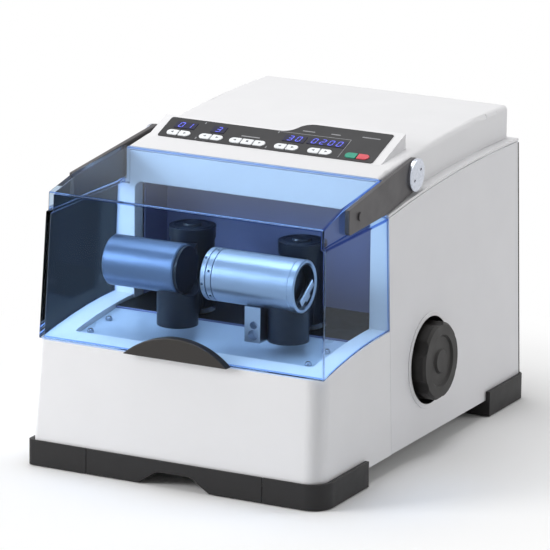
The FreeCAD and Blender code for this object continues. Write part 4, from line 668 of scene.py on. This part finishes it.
# %% Lamps
LAMP_AIM = Vector((0, 0, 0.2))


def lamp(name, spot, size, power):
    """Square lamp that faces the middle of the mill."""
    data = bpy.data.lights.new(name, "AREA")
    data.size, data.energy = size, power
    item = bpy.data.objects.new(name, data)
    item.location = spot
    item.rotation_euler = (LAMP_AIM - Vector(spot)).to_track_quat("-Z", "Y").to_euler()
    bpy.context.scene.collection.objects.link(item)


lamp("lamp_above", (-0.3, 0.1, 2.5), 1.6, 32)
lamp("lamp_left", (-2.3, -2.0, 1.2), 1.3, 64)
lamp("lamp_rear_right", (2.2, 1.6, 1.1), 1.3, 17)
print(len(bpy.data.lights), "lamps")

# %% [markdown]
# ## World
# The world is white for the camera, for reflections and through the hood, and gives a weaker soft light from all
# sides. The Light Path node tells these rays from the light that falls on the mill.

# %% World
SOFT_LIGHT, WHITE = 0.26, 1.0


def seen_directly(tree):
    """1 for rays from the camera, from a reflection or through glass, and 0 for light that falls on the mill."""
    path = add_node(tree, "ShaderNodeLightPath").outputs
    seen = add_node(tree, "ShaderNodeMath", {0: path["Is Camera Ray"], 1: path["Is Glossy Ray"]},
                    operation="MAXIMUM").outputs[0]
    return add_node(tree, "ShaderNodeMath", {0: seen, 1: path["Is Transmission Ray"]}, operation="MAXIMUM").outputs[0]


world = bpy.data.worlds.new("studio")
bpy.context.scene.world = world
world.use_nodes = True
tree = world.node_tree
level = add_node(tree, "ShaderNodeMapRange", {"Value": seen_directly(tree), "To Min": SOFT_LIGHT, "To Max": WHITE})
tree.links.new(level.outputs[0], tree.nodes["Background"].inputs["Strength"])
tree.nodes["Background"].inputs["Color"].default_value = (1, 1, 1, 1)
print("soft light at", SOFT_LIGHT)

# %% [markdown]
# ## Floor and painted shade card
# The mill stands on white paper. Near the mill the paper shows its shadow, and further out it turns into plain
# white. A dark card stands to the left, low down, and paints the shade that darkens the view through the left of the
# hood. Only light that has passed the hood meets it.

# %% Floor and painted shade card
FADE_START, FADE_END, FLOOR_HALF = 0.3, 0.62, 6
CARD_X, CARD_Y, CARD_Z = -0.32, (-0.14, 0.27), (0.02, 0.28)


def flat_quad(name, corners, material):
    """One rectangle from its four corners, as part of the stage."""
    sheet = bmesh.new()
    sheet.faces.new([sheet.verts.new(corner) for corner in corners])
    data = bpy.data.meshes.new(name)
    sheet.to_mesh(data)
    sheet.free()
    data.materials.append(material)
    item = bpy.data.objects.new(name, data)
    bpy.context.scene.collection.objects.link(item)
    return item


floor_paper = surface("white_paper", "fbfbfb", 0.9, mottle=(400, 0.01), relief=(3, 0.01))  # matt, shadowed near by
tree = floor_paper.node_tree
place = add_node(tree, "ShaderNodeTexCoord").outputs["Object"]
reach = add_node(tree, "ShaderNodeVectorMath", {0: place}, operation="LENGTH").outputs["Value"]
far = add_node(tree, "ShaderNodeMapRange", {"Value": reach, "From Min": FADE_START, "From Max": FADE_END},
               interpolation_type="SMOOTHSTEP").outputs[0]
share = add_node(tree, "ShaderNodeMath", {0: far, 1: seen_directly(tree)}, operation="MULTIPLY").outputs[0]
glow = add_node(tree, "ShaderNodeEmission", {"Color": (1, 1, 1, 1), "Strength": WHITE}).outputs[0]
mix = add_node(tree, "ShaderNodeMixShader", {"Fac": share, 1: tree.nodes["Principled BSDF"].outputs[0], 2: glow})
tree.links.new(mix.outputs[0], tree.nodes["Material Output"].inputs["Surface"])
flat_quad("floor", [(x * FLOOR_HALF, y * FLOOR_HALF, 0) for x, y in ((-1, -1), (1, -1), (1, 1), (-1, 1))],
          floor_paper)
shade_card_paper = surface("painted_shade_card", "1b2530", 0.9, mottle=(200, 0.1), relief=(3, 0.01))  # matt blue-black painted shade, seen only through the hood
(near, rear), (low, high) = CARD_Y, CARD_Z
card = flat_quad("painted_shade_flag", [(CARD_X, near, low), (CARD_X, rear, low), (CARD_X, rear, high), (CARD_X, near, high)],
                 shade_card_paper)
card.visible_camera = card.visible_diffuse = card.visible_glossy = card.visible_shadow = False
print("stage ready")
